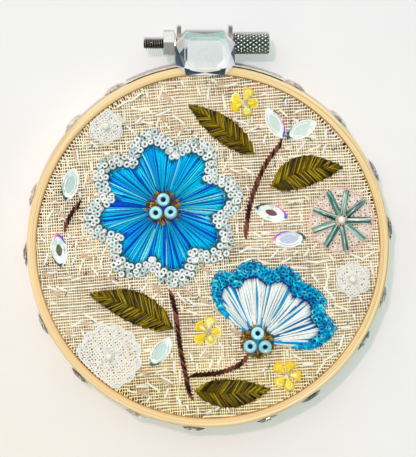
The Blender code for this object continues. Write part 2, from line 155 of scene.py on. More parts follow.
def evenly(route, gap, rng=None, jitter=0.0, closed=True):
    """Points spaced about a gap apart along a polyline, and the way ahead from them if it is open."""
    if closed:
        route = np.concatenate([route, route[:1]])
    gone = np.concatenate([[0], np.cumsum(np.linalg.norm(np.diff(route, axis=0), axis=1))])
    many = max(2, round(gone[-1] / gap))
    at = (np.arange(many) + (0 if closed else 0.5)) * gone[-1] / many
    if rng is not None:
        at = np.clip(at + rng.uniform(-jitter, jitter, many), 0, gone[-1])
    spots, ahead = (np.stack([np.interp(x, gone, side) for side in route.T], axis=1) for x in (at, at + 0.2))
    way = ahead - spots
    return spots, way / (np.linalg.norm(way, axis=1, keepdims=True) + 1e-9)


def edging_spots(rng, route_at, offsets, gap, closed=True, jitter=0.3):
    """Spots in rows along an edge: route_at(offset) is the row's route."""
    spots = np.concatenate([evenly(route_at(offset), gap, rng, jitter, closed)[0] for offset in offsets])
    return spots + rng.normal(size=spots.shape) * 0.14


def smooth_route(points, steps=12):
    """A smooth curve through the points, with so many steps from each to the next."""
    points = np.asarray(points, float)
    ends = np.concatenate([[2 * points[0] - points[1]], points, [2 * points[-1] - points[-2]]])
    t = (np.arange(steps) / steps)[:, None]
    parts = []
    for a, b, c, d in zip(ends, ends[1:], ends[2:], ends[3:]):
        pull = (c - a) * t + (2 * a - 5 * b + 4 * c - d) * t**2
        parts.append(b + (pull + (3 * b - a - 3 * c + d) * t**3) / 2)
    return np.concatenate([*parts, points[-1:]])


def petal_loop(centre, heading, foot, reach, wide, t, power, waist):
    """A loop from a foot near the centre out to its reach and back."""
    out = compass(heading)
    along = foot + (reach - foot) * arch(t) ** power
    across = wide * np.sin(TAU * t) * (waist + (1 - waist) * arch(t))
    return centre + along[:, None] * out + across[:, None] * left_of(out)


# Piles: the points and faces of one piece, gathered as arrays


class Pile:
    """The points and faces of one piece, with a shade and a place along its thread for each point."""

    def __init__(self):
        self.points, self.shades, self.strands, self.faces, self.count = [], [], [], [], 0

    def add(self, points, faces, shade=(1, 1, 1), strand=(0, 0, 0), look=0, smooth=True):
        points = np.reshape(points, (-1, 3))
        self.points.append(points)
        self.shades.append(np.broadcast_to(np.reshape(shade, (-1, 3)), points.shape))
        self.strands.append(np.broadcast_to(np.reshape(strand, (-1, 3)), points.shape))
        self.faces += [(np.asarray(group) + self.count, look, smooth) for group in faces]
        self.count += len(points)

    def make(self, name, looks, slot, replaces=None, body="hoop"):
        """The piece in metres, which rides on a body and may stand for one of its nodes."""
        mesh = bpy.data.meshes.new(name)
        points = (np.concatenate(self.points) + (0, HOOP_Y, 0)) * MM
        mesh.from_pydata(points.tolist(), [], [face for group, _, _ in self.faces for face in group.tolist()])
        for look in looks.split():
            mesh.materials.append(LOOKS[look])
        for key, column, kind in (("material_index", 1, np.int32), ("use_smooth", 2, bool)):
            values = [np.full(len(entry[0]), entry[column], kind) for entry in self.faces]
            mesh.polygons.foreach_set(key, np.concatenate(values))
        colours = np.insert(np.concatenate(self.shades), 3, 1, axis=1)
        mesh.attributes.new("shade", "FLOAT_COLOR", "POINT").data.foreach_set("color", colours.ravel())
        strands = np.concatenate(self.strands)
        mesh.attributes.new("strand", "FLOAT_VECTOR", "POINT").data.foreach_set("vector", strands.ravel())
        obj = bpy.data.objects.new(name, mesh)
        bpy.context.scene.collection.objects.link(obj)
        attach(obj, body)
        if replaces:
            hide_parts(replaces)
        return obj


def quads_of(rows, columns, starts=0, close_rows=False, close_columns=True):
    """Faces of a grid of points, row after row from each start, that may close on itself."""
    row = np.arange(rows if close_rows else rows - 1)[:, None]
    column = np.arange(columns if close_columns else columns - 1)
    after = (column + 1) % columns
    starts = np.asarray(starts)[..., None, None]
    here, over = starts + row * columns, starts + (row + 1) % rows * columns
    return np.stack([here + column, here + after, over + after, over + column], axis=-1).reshape(-1, 4)


def tubes(pile, paths, radius, shade, sides=5, flat=1.0, own=0.5, smooth=True):
    """Threads along one path or many of equal length, flattened to flat times their width.

    Four-sided ones lie with a flat side up. A strand's turn is half way at its top.
    """
    paths = paths.reshape(-1, *paths.shape[-2:])
    many, length = paths.shape[:2]
    along = np.gradient(paths, axis=1)
    along /= np.linalg.norm(along, axis=2, keepdims=True) + 1e-12
    side = np.cross(along, (0.0, 0.0, 1.0))
    side = np.where(np.linalg.norm(side, axis=2, keepdims=True) < 1e-3, (1.0, 0.0, 0.0), side)
    side /= np.linalg.norm(side, axis=2, keepdims=True)
    up = np.cross(side, along)[:, :, None]
    turn = ((-0.25 if sides == 4 else -0.5) * math.pi + circle(sides))[:, None]
    reach = np.broadcast_to(radius, (many, length))[..., None, None]
    points = paths[:, :, None] + reach * (np.cos(turn) * side[:, :, None] + flat * np.sin(turn) * up)
    starts = np.arange(many) * length * sides
    first = starts[:, None] + np.arange(sides)
    last = first[:, ::-1] + (length - 1) * sides
    shade = np.asarray(shade, float)
    if shade.ndim == 2:
        shade = shade[:, None]
    gone = np.cumsum(np.linalg.norm(np.diff(paths, axis=1, prepend=paths[:, :1]), axis=2), axis=1)
    strands = np.zeros(points.shape)
    strands[..., 0] = gone[:, :, None]
    strands[..., 1] = turn[:, 0] / TAU + 0.25
    strands[..., 2] = np.reshape(own, (-1, 1, 1))
    quads = quads_of(length, sides, starts)[:, (0, 3, 2, 1)]
    shades = np.broadcast_to(shade[:, :, None], points.shape)
    pile.add(points, [quads, first, last], shades, strands, smooth=smooth)


def stamp(pile, shape, turns, places, shades, own, look=0):
    """Copies of one small shape, each with its own 3 by 3 turn, place, shade and number."""
    points, faces = shape
    made = np.einsum("mij,pj->mpi", turns, points) + np.asarray(places)[:, None]
    steps = (np.arange(len(places)) * len(points))[:, None, None]
    groups = [(np.asarray(group) + steps).reshape(-1, np.shape(group)[1]) for group in faces]
    strands = np.zeros(made.shape)
    strands[..., 0] = points[:, 2]
    strands[..., 1] = np.arctan2(points[:, 1], points[:, 0]) / TAU + 0.5
    strands[..., 2] = np.asarray(own)[:, None]
    pile.add(made, groups, np.broadcast_to(np.asarray(shades)[:, None], made.shape), strands, look)


def turned(profile, sides, sweep=(0.0, TAU)):
    """A closed profile of (radius, height), anticlockwise, turned about Z: its points and faces."""
    profile = np.asarray(profile, float)
    whole = sweep[1] - sweep[0] > TAU - 1e-6
    angles = sweep[0] + (sweep[1] - sweep[0]) * np.arange(sides + (not whole)) / sides
    points = lift(profile[:, None, :1] * compass(angles), profile[:, 1:])
    faces = [quads_of(len(profile), len(angles), close_rows=True, close_columns=whole)]
    if not whole:
        column = np.arange(len(profile)) * len(angles)
        faces += [column[None], column[None, ::-1] + sides]
    return points.reshape(-1, 3), faces


def bead(radius, hole, height, sides):
    """A round drilled bead, its hole along Z."""
    size = ((radius - hole) / 2, height / 2)
    return turned(((radius + hole) / 2, 0) + compass(circle(8)) * size, sides)


def coil(radius, thread, turns, steps):
    """A knot: thread wound round itself, lying down."""
    share = np.linspace(0, 1, steps)
    pile = Pile()
    path = lift(around((0, 0), TAU * turns * share, radius * (1 - 0.28 * share)), 0.5 * share)
    tubes(pile, path, thread, [(1, 1, 1)])
    return pile.points[0], [group for group, _, _ in pile.faces]


def dome(pile, outline, centre, high, shade):
    """A padded ground under stitches, coloured as painted shade in the gaps between them: an outline rising
    in rings to a flat top, closed below.
    """
    low, shoulder, count = PAD_LOW, PAD_LOW + 0.6 * (high - PAD_LOW), len(outline)
    levels = ((0.02, low), (0.99, low), (0.975, shoulder), (0.90, high), (0.5, high), (0.02, high))
    rings = [lift(centre + (outline - centre) * scale, z) for scale, z in levels]
    j = np.arange(count)[None]
    pile.add(rings, [quads_of(len(levels), count), j[:, ::-1], (len(levels) - 1) * count + j], shade)


def band(pile, inner, outer, high, shade):
    """A padded band between two open routes, closed all round, coloured as painted shade in the gaps between
    the beads or knots on it.
    """
    count, across = len(inner), outer - inner
    rows = [(inner, PAD_LOW), (inner + 0.04 * across, high), (outer - 0.04 * across, high), (outer, PAD_LOW)]
    quads = quads_of(4, count, close_rows=True, close_columns=False)[:, (0, 3, 2, 1)]
    end = np.arange(4)[None] * count
    rings = [lift(spots, z) for spots, z in rows]
    pile.add(rings, [quads, end[:, ::-1], end + count - 1], shade, smooth=False)


def spin(angle):
    """A turn about Z, or one for each angle."""
    c, s, zero = np.cos(angle), np.sin(angle), 0 * angle
    return np.stack([c, -s, zero, s, c, zero, zero, zero, zero + 1], axis=-1).reshape(*np.shape(angle), 3, 3)


def tilts(rng, many, most):
    """Random turns: any way round, and leaning by up to so many degrees."""
    turn, lean = rng.uniform(0, TAU, many), np.radians(most) * rng.uniform(0, 1, many) ** 0.8
    heading = rng.uniform(0, TAU, many)
    return spin(heading) @ np.roll(spin(lean), 1, axis=(1, 2)) @ spin(turn - heading)


def pick(rng, shades, many, weights=None, vary=0.08):
    """One of the shades for each, a little lighter or darker."""
    chosen = np.array(shades)[rng.choice(len(shades), many, p=weights)]
    return np.clip(chosen * (1 + vary * rng.normal(size=(many, 1))), 0, 1)


# Looks


class Look:
    """The nodes of a material or a world. Each way to add one gives its output."""

    def __init__(self, owner):
        self.owner = owner
        owner.use_nodes = True
        self.tree = owner.node_tree

    def fill(self, made, inputs):
        """Link or set a node's sockets."""
        for key, value in inputs.items():
            socket = made.inputs[key]
            if isinstance(value, bpy.types.NodeSocket):
                self.tree.links.new(value, socket)
            else:
                socket.default_value = (*value, 1) if socket.type == "RGBA" else value

    def node(self, kind, inputs=None, out=0, **settings):
        made = self.tree.nodes.new("ShaderNode" + kind)
        for key, value in settings.items():
            setattr(made, key, value)
        self.fill(made, inputs or {})
        return made.outputs[out]

    def maths(self, operation, first, second=0.0):
        return self.node("Math", {0: first, 1: second}, operation=operation)

    def times(self, first, second):
        return self.maths("MULTIPLY", first, second)

    def plus(self, first, second):
        return self.maths("ADD", first, second)

    def mix(self, share, first, second):
        return self.node("Mix", {0: share, 6: first, 7: second}, 2, data_type="RGBA")

    def tint(self, colour, by):
        """A colour times a number or another colour."""
        by = (by, by, by) if isinstance(by, float) else by
        return self.node("Mix", {0: 1.0, 6: colour, 7: by}, 2, data_type="RGBA", blend_type="MULTIPLY")

    def spread(self, value, low, high, start=0.0, end=1.0):
        """A number from start to end, spread to low to high."""
        return self.node("MapRange", {0: value, 1: start, 2: end, 3: low, 4: high})

    def noise(self, where, scale, detail=2.0):
        return self.node("TexNoise", {"Vector": where, "Scale": scale, "Detail": detail, "Roughness": 0.5})

    def shade(self):
        return self.node("Attribute", attribute_name="shade")

    def parts(self, where):
        return self.node("SeparateXYZ", {0: where}, slice(3))

    def strand(self):
        """Place along a thread in millimetres, turn round it, and a number of its own."""
        return self.parts(self.node("Attribute", out=1, attribute_name="strand"))

    def place(self):
        return self.node("TexCoord", out=3)

    def vector(self, *parts):
        """A place of three parts. Each is a number, or a number and its scale."""
        inputs = {i: self.times(*part) if isinstance(part, tuple) else part for i, part in enumerate(parts)}
        return self.node("CombineXYZ", inputs)

    def ramp(self, share, stops):
        """A colour that runs through stops of (place, colour)."""
        output = self.node("ValToRGB", {0: share})
        elements = output.node.color_ramp.elements
        for number, (place, colour) in enumerate(stops):
            element = elements[number] if number < 2 else elements.new(place)
            element.position, element.color = place, (*colour, 1)
        return output

    def finish(self, height=None, strength=0.5, distance=0.1, **sockets):
        """The material, its shader's sockets filled by name and its surface raised by a height."""
        if height is not None:
            inputs = {"Strength": strength, "Distance": distance * MM, "Height": height}
            sockets["Normal"] = self.node("Bump", inputs)
        shader = self.tree.nodes["Principled BSDF"]
        self.fill(shader, {key.replace("_", " "): value for key, value in sockets.items()})
        return self.owner


def new_look(name):
    return Look(bpy.data.materials.new(name))


def thread_look(name, roughness, twist, dark, fibre, gloss, sides=None, edge=(0.05, 0.25)):
    """Plied thread: a twist round it, shown in colour as painted highlight and shade in bands along the
    plies, fibres along it, and painted shade down its sides if given.
    """
    look = new_look(name)
    along, turn, own = look.strand()
    phase = look.plus(look.times(along, TAU / twist), look.times(turn, 2 * TAU))
    ply = look.spread(look.maths("SINE", phase), 0.5, 1.0)
    fibres = look.noise(look.vector((along, 0.7), (turn, 9.0), (own, 60.0)), 1.6, 3.0)
    # The twist's bands, from darker to a little over full brightness, are painted shade and highlight along
    # the plies.
    light = look.times(look.spread(ply, dark, 1.12), look.spread(fibres, 1 - fibre, 1 + fibre))
    colour = look.tint(look.shade(), light)
    # Painted shade down the thread's sides: the colour deepens towards its flanks.
    if sides:
        side_shade_mask = look.maths("ABSOLUTE", look.maths("SUBTRACT", turn, 0.5))
        colour = look.tint(colour, look.mix(look.spread(side_shade_mask, 0.0, 1.0, *edge), (1.0, 1.0, 1.0), sides))
    return look.finish(
        look.plus(ply, fibres), 0.5, 0.12, Base_Color=colour,
        Roughness=look.spread(fibres, roughness - 0.12, roughness + 0.15), Specular_IOR_Level=gloss,
    )


def wood_look():
    """Pale wood with its grain along the ring, warmer at the lower left."""
    look = new_look("pale_wood")
    along, across, _ = look.strand()
    grain = look.noise(look.vector((along, 0.012), (across, 1.3), 0.0), 1.6, 3.0)
    fine = look.noise(look.vector((along, 0.03), (across, 3.0), 3.0), 1.5)
    angle = look.maths("DIVIDE", along, RING_R)
    broad = look.maths("COSINE", look.maths("SUBTRACT", angle, math.radians(225)))
    stops = zip((0.30, 0.42, 0.55, 0.72), paints("e2b66a f0ce8e fce4ac ffeec4"))
    colour = look.mix(look.spread(broad, 0.0, 0.45), look.ramp(grain, stops), paint("ffd69e"))
    colour = look.tint(look.tint(colour, look.shade()), look.spread(fine, 0.70, 1.2))
    height = look.plus(grain, look.times(fine, 0.6))
    return look.finish(height, 0.35, 0.12, Base_Color=colour, Roughness=look.spread(fine, 0.34, 0.6))


def linen_shade_ground_look():
    """A dark ground under the yarns, its top painted with the shade seen through the weave's holes from
    above, and the woven back of the cloth.
    """
    look = new_look("linen_shade_ground")
    place = look.place()
    sides = zip(look.parts(place), reversed(YARN_GAPS))
    waves = [look.maths("SINE", look.times(side, TAU / (gap * MM))) for side, gap in sides]
    weave = look.spread(look.maths("MAXIMUM", *waves), 0.0, 1.0)
    patch = look.noise(place, 700.0, 3.0)
    # Painted shade: the dark brown seen in the weave's holes. Facing up the sheet shows it, facing down the
    # woven back.
    ground = look.mix(look.spread(patch, -0.6, 1.3), *paints("180d00 684400"))
    woven = look.mix(weave, *paints("8c683e e2cca4"))
    facing = look.parts(look.node("NewGeometry", out=1))
    colour = look.mix(look.maths("GREATER_THAN", facing[2], 0.3), woven, ground)
    colour = look.tint(colour, look.spread(look.noise(place, 60.0), 0.85, 1.12))
    roughness = look.spread(patch, 0.8, 0.95)
    return look.finish(weave, 0.6, 0.2, Base_Color=colour, Roughness=roughness, Specular_IOR_Level=0.0)


def metal_look(name, roughness, metal, light=None, dark=None):
    """Plated steel with faint polishing marks and tarnish, from light to dark or over the shades."""
    look = new_look(name)
    marks, tarnish = (look.noise(look.place(), scale, 3.0) for scale in (900.0, 160.0))
    if light:
        colour = look.mix(look.spread(tarnish, -0.4, 1.1), light, dark)
    else:
        # The screw's shades carry the painted shade of its hollows.
        colour = look.tint(look.shade(), look.spread(tarnish, 0.8, 1.1))
    rough = look.spread(marks, roughness * 0.7, roughness * 1.4)
    return look.finish(marks, 0.15, 0.03, Base_Color=colour, Metallic=metal, Roughness=rough)


def foil_look(name, metal, painted_glow):
    """The mirror behind a cut stone. Each facet has its own tint, a painted reflection, and the foil glows
    with painted light in place of light passed through the glass.
    """
    look = new_look(name)
    specks = look.noise(look.place(), 1500.0)
    colour = look.tint(look.shade(), look.spread(specks, 0.86, 1.06))
    return look.finish(
        Base_Color=colour, Metallic=metal, Roughness=look.spread(specks, 0.1, 0.28),
        # Emission here is painted light: the foil is no lamp.
        Emission_Color=colour, Emission_Strength=painted_glow,
    )


def stone_glass_look():
    look = new_look("stone_glass")
    specks = look.noise(look.place(), 900.0)
    colour = look.mix(specks, (0.97, 1.0, 1.0), (1.0, 1.0, 1.0))
    rough = look.spread(specks, 0.0, 0.02)
    return look.finish(Base_Color=colour, Transmission_Weight=1.0, IOR=1.42, Roughness=rough)


def bead_look(name, roughness, coat, cloud, half=None):
    """Cloudy beads, each with its own shade, with painted shade darkening them towards mid-height if half
    their height is given.
    """
    look = new_look(name)
    along, _, own = look.strand()
    clouds = look.noise(look.place(), 1400.0)
    colour = look.tint(look.shade(), look.spread(clouds, 1 - cloud, 1 + cloud))
    colour = look.tint(colour, look.spread(own, 0.92, 1.06))
    # Painted shade: darker and teal towards the bead's middle height, full colour at top and bottom.
    if half:
        painted_rim_shade = look.maths("DIVIDE", look.maths("ABSOLUTE", along), half)
        colour = look.mix(painted_rim_shade, look.tint(look.mix(0.4, colour, paint("3c96a0")), 0.7), colour)
    return look.finish(
        clouds, 0.1, 0.05, Base_Color=colour, Roughness=look.spread(clouds, roughness, roughness + 0.12),
        Coat_Weight=coat, Coat_Roughness=0.03, Specular_IOR_Level=0.6,
    )


def bugle_look():
    """Long glass beads, darkened and paled in bands along them: painted shade and a painted highlight."""
    look = new_look("bugle_bead_glass")
    along, turn, own = look.strand()
    highlight_and_shade_bands = look.noise(look.vector((along, 0.1), (turn, 9.0), (own, 40.0)), 1.0, 1.0)
    # Dark bands are painted shade, pale bands a painted highlight.
    colour = look.mix(look.spread(highlight_and_shade_bands, 0.0, 1.0, 0.36, 0.5), look.tint(look.shade(), 0.22), look.shade())
    colour = look.mix(look.spread(highlight_and_shade_bands, 0.0, 1.0, 0.54, 0.62), colour, paint("d6eee2"))
    return look.finish(
        highlight_and_shade_bands, 0.1, 0.05, Base_Color=colour, Roughness=look.spread(highlight_and_shade_bands, 0.2, 0.34),
        Coat_Weight=0.3, Coat_Roughness=0.15, Specular_IOR_Level=0.5,
    )


def floor_look():
    """Pale card, with painted warm light towards the lower left."""
    look = new_look("studio_floor")
    place = look.place()
    grain = look.noise(place, 40.0, 3.0)
    pale, painted_warm_light = (look.mix(grain, *paints(pair)) for pair in ("efeeef f4f3f4", "f1e9e3 f6eee8"))
    towards = look.node("VectorMath", {0: place, 1: (-0.6, -0.8, 0)}, 1, operation="DOT_PRODUCT")
    # Painted warm light: the card blends to a warmer tint towards the lower left.
    colour = look.mix(look.spread(towards, 0.0, 1.0, 0.0, 0.085), pale, painted_warm_light)
    return look.finish(grain, 0.05, 0.2, Base_Color=colour, Roughness=look.spread(grain, 0.75, 0.85))


YARN_GAPS = (0.88, 0.69)

# Thread looks give name, roughness, twist, darkest share of the painted twist shade, fibre, gloss, and the
# tint of the painted shade down the sides with where it grows.
LOOKS = {
    "floss": thread_look("silky_floss", 0.42, 1.5, 0.45, 0.28, 0.15, (0.36, 0.46, 0.72)),
    "blue_floss": thread_look("blue_floss", 0.5, 1.5, 0.62, 0.28, 0.08, (0.08, 0.48, 0.84)),
    "white_floss": thread_look("white_floss", 0.45, 1.5, 0.8, 0.14, 0.15, (0.55, 0.80, 0.86)),
    "knot": thread_look("knotted_cotton", 0.5, 1.0, 0.75, 0.2, 0.12, (0.06, 0.44, 0.64)),
    "cotton": thread_look("plied_cotton", 0.6, 1.0, 0.6, 0.3, 0.15, (0.5, 0.5, 0.55)),
    "yarn": thread_look("linen_yarn", 0.85, 0.9, 1.0, 0.08, 0.1, (0.74, 0.50, 0.02), (0.06, 0.12)),
    "gold": thread_look("yellow_cotton", 0.6, 1.0, 0.75, 0.2, 0.15, (0.86, 0.52, 0.05), (0.09, 0.24)),
    "lace": thread_look("lace_thread", 0.7, 0.6, 0.95, 0.1, 0.1),
    "straw": thread_look("straw_stitch", 0.42, 3.0, 0.95, 0.08, 0.2),
    "wood": wood_look(),
    "ground": linen_shade_ground_look(),
    "nut": metal_look("nut_steel", 0.28, 0.7, *paints("fcfcf8 ded8c6")),
    "strap": metal_look("strap_steel", 0.28, 1.0, *paints("9c9a92 585248")),
    "screw": metal_look("screw_steel", 0.22, 1.0),
    "foil": foil_look("stone_foil", 0.4, 0.28),
    "bud_foil": foil_look("bud_foil", 0.3, 0.5),
    "crown": stone_glass_look(),
    "seed": bead_look("seed_bead_glass", 0.10, 0.7, 0.12, 0.5),
    "aqua": bead_look("aqua_bead_glass", 0.08, 0.8, 0.06, 1.1),
    "pearl": bead_look("pearl_coat", 0.22, 0.5, 0.06),
    "bugle": bugle_look(),
}

# Wooden rings

# Tint towards the rings' inner edge: partly the wood's own stain, partly painted shade of the gap between
# ring and cloth.
INNER_EDGE_STAIN_AND_SHADE = (0.74, 0.52, 0.20)


def ring_section(wall_in, wall_out, low, top, round_out, round_in):
    """A ring's section, anticlockwise: outer side up, then the inner side down."""
    corners = (
        (wall_out - round_in, low + round_in, round_in),
        (wall_out - round_out, top - round_out, round_out),
        (wall_in + round_in, top - round_in, round_in),
        (wall_in + round_in, low + round_in, round_in),
    )
    quarters = np.radians(30 * np.arange(4) - 90) + math.pi / 2 * np.arange(4)[:, None]
    return np.concatenate([around((x, z), quarter, r) for quarter, (x, z, r) in zip(quarters, corners)])


def wooden_ring(side, profile, sides, sweep, radius):
    """One ring, darker towards its inner edge, partly the wood's own stain and partly painted shade of the
    gap at the cloth, with its grain along it.
    """
    points, faces = turned(profile, sides, sweep)
    strands = np.zeros((len(profile), len(points) // len(profile), 3))
    strands[..., 0] = np.linspace(*sweep, strands.shape[1]) * radius
    strands[1:, :, 1] = np.cumsum(np.linalg.norm(np.diff(profile, axis=0), axis=1))[:, None]
    # Painted shade, with stain, that deepens over the last 0.75 mm towards the inner edge.
    inside = np.clip((profile[:, 0].min() + 0.75 - profile[:, 0]) / 0.75, 0, 1)[:, None, None]
    tints = 1 + inside * (np.array(INNER_EDGE_STAIN_AND_SHADE) - 1)
    pile = Pile()
    pile.add(points, faces, np.broadcast_to(tints, strands.shape), strands)
    pile.make(f"ring_{side}_wood", "wood", "wood", f"{side}_ring")


def build_rings():
    right, left = (math.pi / 2 - math.asin((SPLIT_X + side * SPLIT_HALF) / RING_R) for side in (1, -1))
    profile = ring_section(BORE_R, RING_R, RING_LOW, RING_TOP, 0.55, 0.4)
    wooden_ring("outer", profile, 300, (left, TAU + right), RING_R)
    profile = ring_section(INNER_R - INNER_WALL, INNER_R, 0.0, INNER_TOP, 0.45, 0.45)
    wooden_ring("inner", profile, 256, (0.0, TAU), INNER_R)


# Linen

YARN_R = (0.298, 0.222)
YARN_WAVE, YARN_Z, YARN_END_R = 0.08, CLOTH_TOP - 0.16, BORE_R - 0.08
WEAVE_TURN = math.radians(4)


def pulled(spots):
    """The weave's turn and slow distortion, the same for both ways of yarn."""
    c, s = compass(WEAVE_TURN)
    x, y = c * spots[:, 0] - s * spots[:, 1], s * spots[:, 0] + c * spots[:, 1]
    across = x + 0.30 * np.sin(y / 15 + x / 29 + 0.6) + 0.10 * np.sin(y / 4.7 - x / 11)
    down = y + 0.30 * np.sin(x / 17 - y / 31 + 2.0) + 0.10 * np.sin(x / 5.3 + y / 13)
    return np.stack([across, down], axis=1)


def openness(spots):
    """Share of its width that yarn keeps where the weave has slackened in patches."""
    x, y = spots.T
    swell = np.sin(x / 6.1 + y / 17 + 1.0) * np.sin(y / 5.3 - x / 13 + 2.0)
    return 1 - 0.22 * np.clip(swell, -0.3, 1)


def yarn_places(rng, gap):
    places = np.cumsum(np.clip(1 + 0.07 * rng.normal(size=int(2 * CLOTH_R / gap)), 0.8, 1.3))
    return (places - places[0]) / (places[-1] - places[0]) * 2 * (CLOTH_R - 0.4) - (CLOTH_R - 0.4)


def lay_yarns(rng, name, way, yarns, crossings):
    """All the yarns that run one way, over and under those that cross them."""
    pile = Pile()
    thick = rng.uniform(0.78, 1.2, len(yarns))
    shades = pick(rng, paints("fff9ef fff4e1 fffcf8 fde8d4"), len(yarns), [0.4, 0.25, 0.25, 0.1], 0.02)
    for number, line in enumerate(yarns):
        reach = math.sqrt(max(0.0, (CLOTH_R - 0.15) ** 2 - line**2))
        inside = np.flatnonzero(np.abs(crossings) < reach - 0.3)
        if len(inside) < 4:
            continue
        at = np.concatenate([[-reach], crossings[inside], [reach]])
        spots = np.zeros((len(at), 2))
        spots[:, way] = at
        spots[:, 1 - way] = line + 0.045 * rng.normal(size=len(at))
        spots = pulled(spots)
        far = np.linalg.norm(spots, axis=1)
        far[1:-1] = np.maximum(far[1:-1], YARN_END_R)
        spots *= (YARN_END_R / far)[:, None]
        over = np.where((inside[0] - 1 + np.arange(len(at)) + number + way) % 2 == 0, 1, -1)
        slub = 1 + 0.12 * np.sin(at / rng.uniform(1.5, 6) + rng.uniform(0, TAU))
        slub += 0.2 * rng.normal(size=len(at))
        tone = 1 + 0.04 * np.sin(at / rng.uniform(2, 9) + rng.uniform(0, TAU))
        # Painted warm light on the lower part of the cloth: less blue and a little less green.
        painted_warm_light = np.clip((-spots[:, 1:] - 24) / 18, 0, 1)
        tint = shades[number] * tone[:, None] * (1 - painted_warm_light * (0.0, 0.04, 0.25))
        radius = YARN_R[way] * thick[number] * np.clip(slub, 0.7, 1.5) * openness(spots)
        path = lift(spots, YARN_Z + YARN_WAVE * over)
        tubes(pile, path, radius, tint[None], 4, 0.5, own=rng.uniform(), smooth=False)
    return pile.make(name, "yarn", "linen")


def build_linen():
    pile = Pile()
    inner = CLOTH_SKIRT_R
    profile = [
        (0.02, 8.5), (20, 8.5), (40, 8.5), (inner + 0.1, 8.5), (inner + 0.25, 8.2),
        (inner + 0.3, CLOTH_EDGE_Z), (inner + 1.1, CLOTH_EDGE_Z), (YARN_END_R, 8.4), (YARN_END_R, 8.9),
        (inner + 0.9, 8.95), (inner + 0.6, 8.75), (40, 8.75), (20, 8.75), (0.02, 8.75),
    ]
    # A sheet under the yarns whose top is painted dark, as the shade in the weave's holes.
    pile.add(*turned(profile, 128))
    sheet = pile.make("linen_shade_ground", "ground", "linen", "linen")
    rng = np.random.default_rng(11)
    ways = [yarn_places(rng, gap) for gap in YARN_GAPS]
    pieces = [lay_yarns(rng, "linen_weft", 0, *ways), lay_yarns(rng, "linen_warp", 1, *ways[::-1])]


# Flowers

STITCH_LOW = 9.25
HEART_KNOTS = 54
HEART_SHADES = paints("c48814 965c0e e0b246 604c14")


def petal_radius(angle, extra=0.0):
    swing = np.abs(np.cos(FLOWER_PETALS * (angle - FLOWER_TURN) / 2))
    return FLOWER_VALLEY + (FLOWER_TIP - FLOWER_VALLEY) * swing + extra


def lobe_radius(angle, extra=0.0):
    """The half-flower's scalloped edge, at an angle within its spread."""
    share = np.clip((angle - HALF_START) / (2 * HALF_SPREAD), 0, 1)
    scallop = HALF_LOBE_DEPTH * (np.abs(np.sin(math.pi * HALF_LOBES * share)) - 1)
    ends = np.minimum(1, 8 * np.minimum(share, 1 - share) + 0.001) ** 0.5
    return (HALF_RADIUS + scallop) * (0.55 + 0.45 * ends) + extra


def fan(pile, rng, centre, angles, feet, edge, rough, near, loose, widths, tints):
    """Straight stitches side by side, worked in any order, from near a flower's centre to its edge.

    They go up over the padding and down at both ends.
    """
    many = len(angles)
    order = rng.permutation(many)
    outer = around(centre, angles + 0.004 * rng.normal(size=many), edge + rng.uniform(*rough, many))[order]
    inner = around(centre, feet, near + rng.uniform(0, loose, many))[order]
    shades = tints()[order]
    t = np.linspace(0, 1, 9)
    bow = rng.normal(size=(many, 1)) * 0.25
    side = left_of(outer - inner)
    side /= np.linalg.norm(side, axis=1, keepdims=True) + 1e-9
    spots = lines(inner, outer - inner, t) + side[:, None] * (bow * arch(t))[..., None]
    high = PAD_TOP + 0.1 - STITCH_LOW + rng.uniform(-0.3, 0.12, (many, 1))
    heights = STITCH_LOW + high * (1 - 0.88 * (2 * t - 1) ** 8) * (1 - 0.10 * t)
    radius = (widths[0] + (widths[1] - widths[0]) * t**0.8) * rng.uniform(0.85, 1.15, (many, 1))
    tubes(pile, lift(spots, heights), radius, shades, 6, 0.95, own=rng.uniform(size=many))


def streaks(rng, many, shades):
    """Colours that now and then keep for the next stitch."""
    chosen = np.zeros(many, int)
    current = rng.integers(len(shades))
    for i in range(many):
        if rng.uniform() < 1 / 1.1:
            current = rng.integers(len(shades))
        chosen[i] = current
    return np.array(shades)[chosen] * (1 + 0.10 * rng.normal(size=(many, 1)))


def build_heart(name, rng, centre, radius):
    """Gold and brown knots and stitches on a flower's middle, and the three aqua beads on them."""
    pile = Pile()
    many = HEART_KNOTS
    angle = np.linspace(0, TAU, many, endpoint=False) + rng.normal(size=many) * 0.12
    reach = radius * rng.uniform(0.62, 1.16, many)
    places = lift(around(centre, angle, reach), PAD_TOP - 0.1 + rng.uniform(-0.1, 0.3, many))
    turns = tilts(rng, many, 30)
    shades = pick(rng, HEART_SHADES, many, vary=0.2)
    stamp(pile, coil(0.46, 0.2, 1.9, 16), turns, places, shades, rng.uniform(size=many))
    inner, outer = (around(centre, angle * 1.9 + on, reach * share) for on, share in ((0, 0.5), (0.4, 1.15)))
    t = np.linspace(0, 1, 6)
    paths = lift(lines(inner, outer - inner, t), PAD_TOP - 0.2 + 0.45 * arch(t))
    tubes(pile, paths, 0.17, pick(rng, HEART_SHADES, many, vary=0.25))
    pile.make(f"{name}_heart", "cotton", "brown_thread")

    shape = bead(BEAD_R, BEAD_HOLE_R, BEAD_HEIGHT, 28)
    reach, half = BEAD_HOLE_R - 0.04, 0.22 * BEAD_HEIGHT
    thread = turned([(0.02, -half), (reach, -half), (reach, half), (0.02, half)], 14)
    for number in range(3):
        spot = around(centre, math.radians(90 + 120 * number), BEAD_SPREAD)
        place = [(*spot, PAD_TOP + 0.3 + BEAD_HEIGHT / 2)]
        pile = Pile()
        turn = tilts(rng, 1, 26)
        stamp(pile, shape, turn, place, pick(rng, paints("a6e6f6"), 1), [rng.uniform()])
        stamp(pile, thread, turn, place, paints("082842"), [rng.uniform()], 1)
        sewn = f"{name}_bead_{number + 1}"
        pile.make(f"{sewn}_glass", "aqua cotton", "round_beads", sewn)


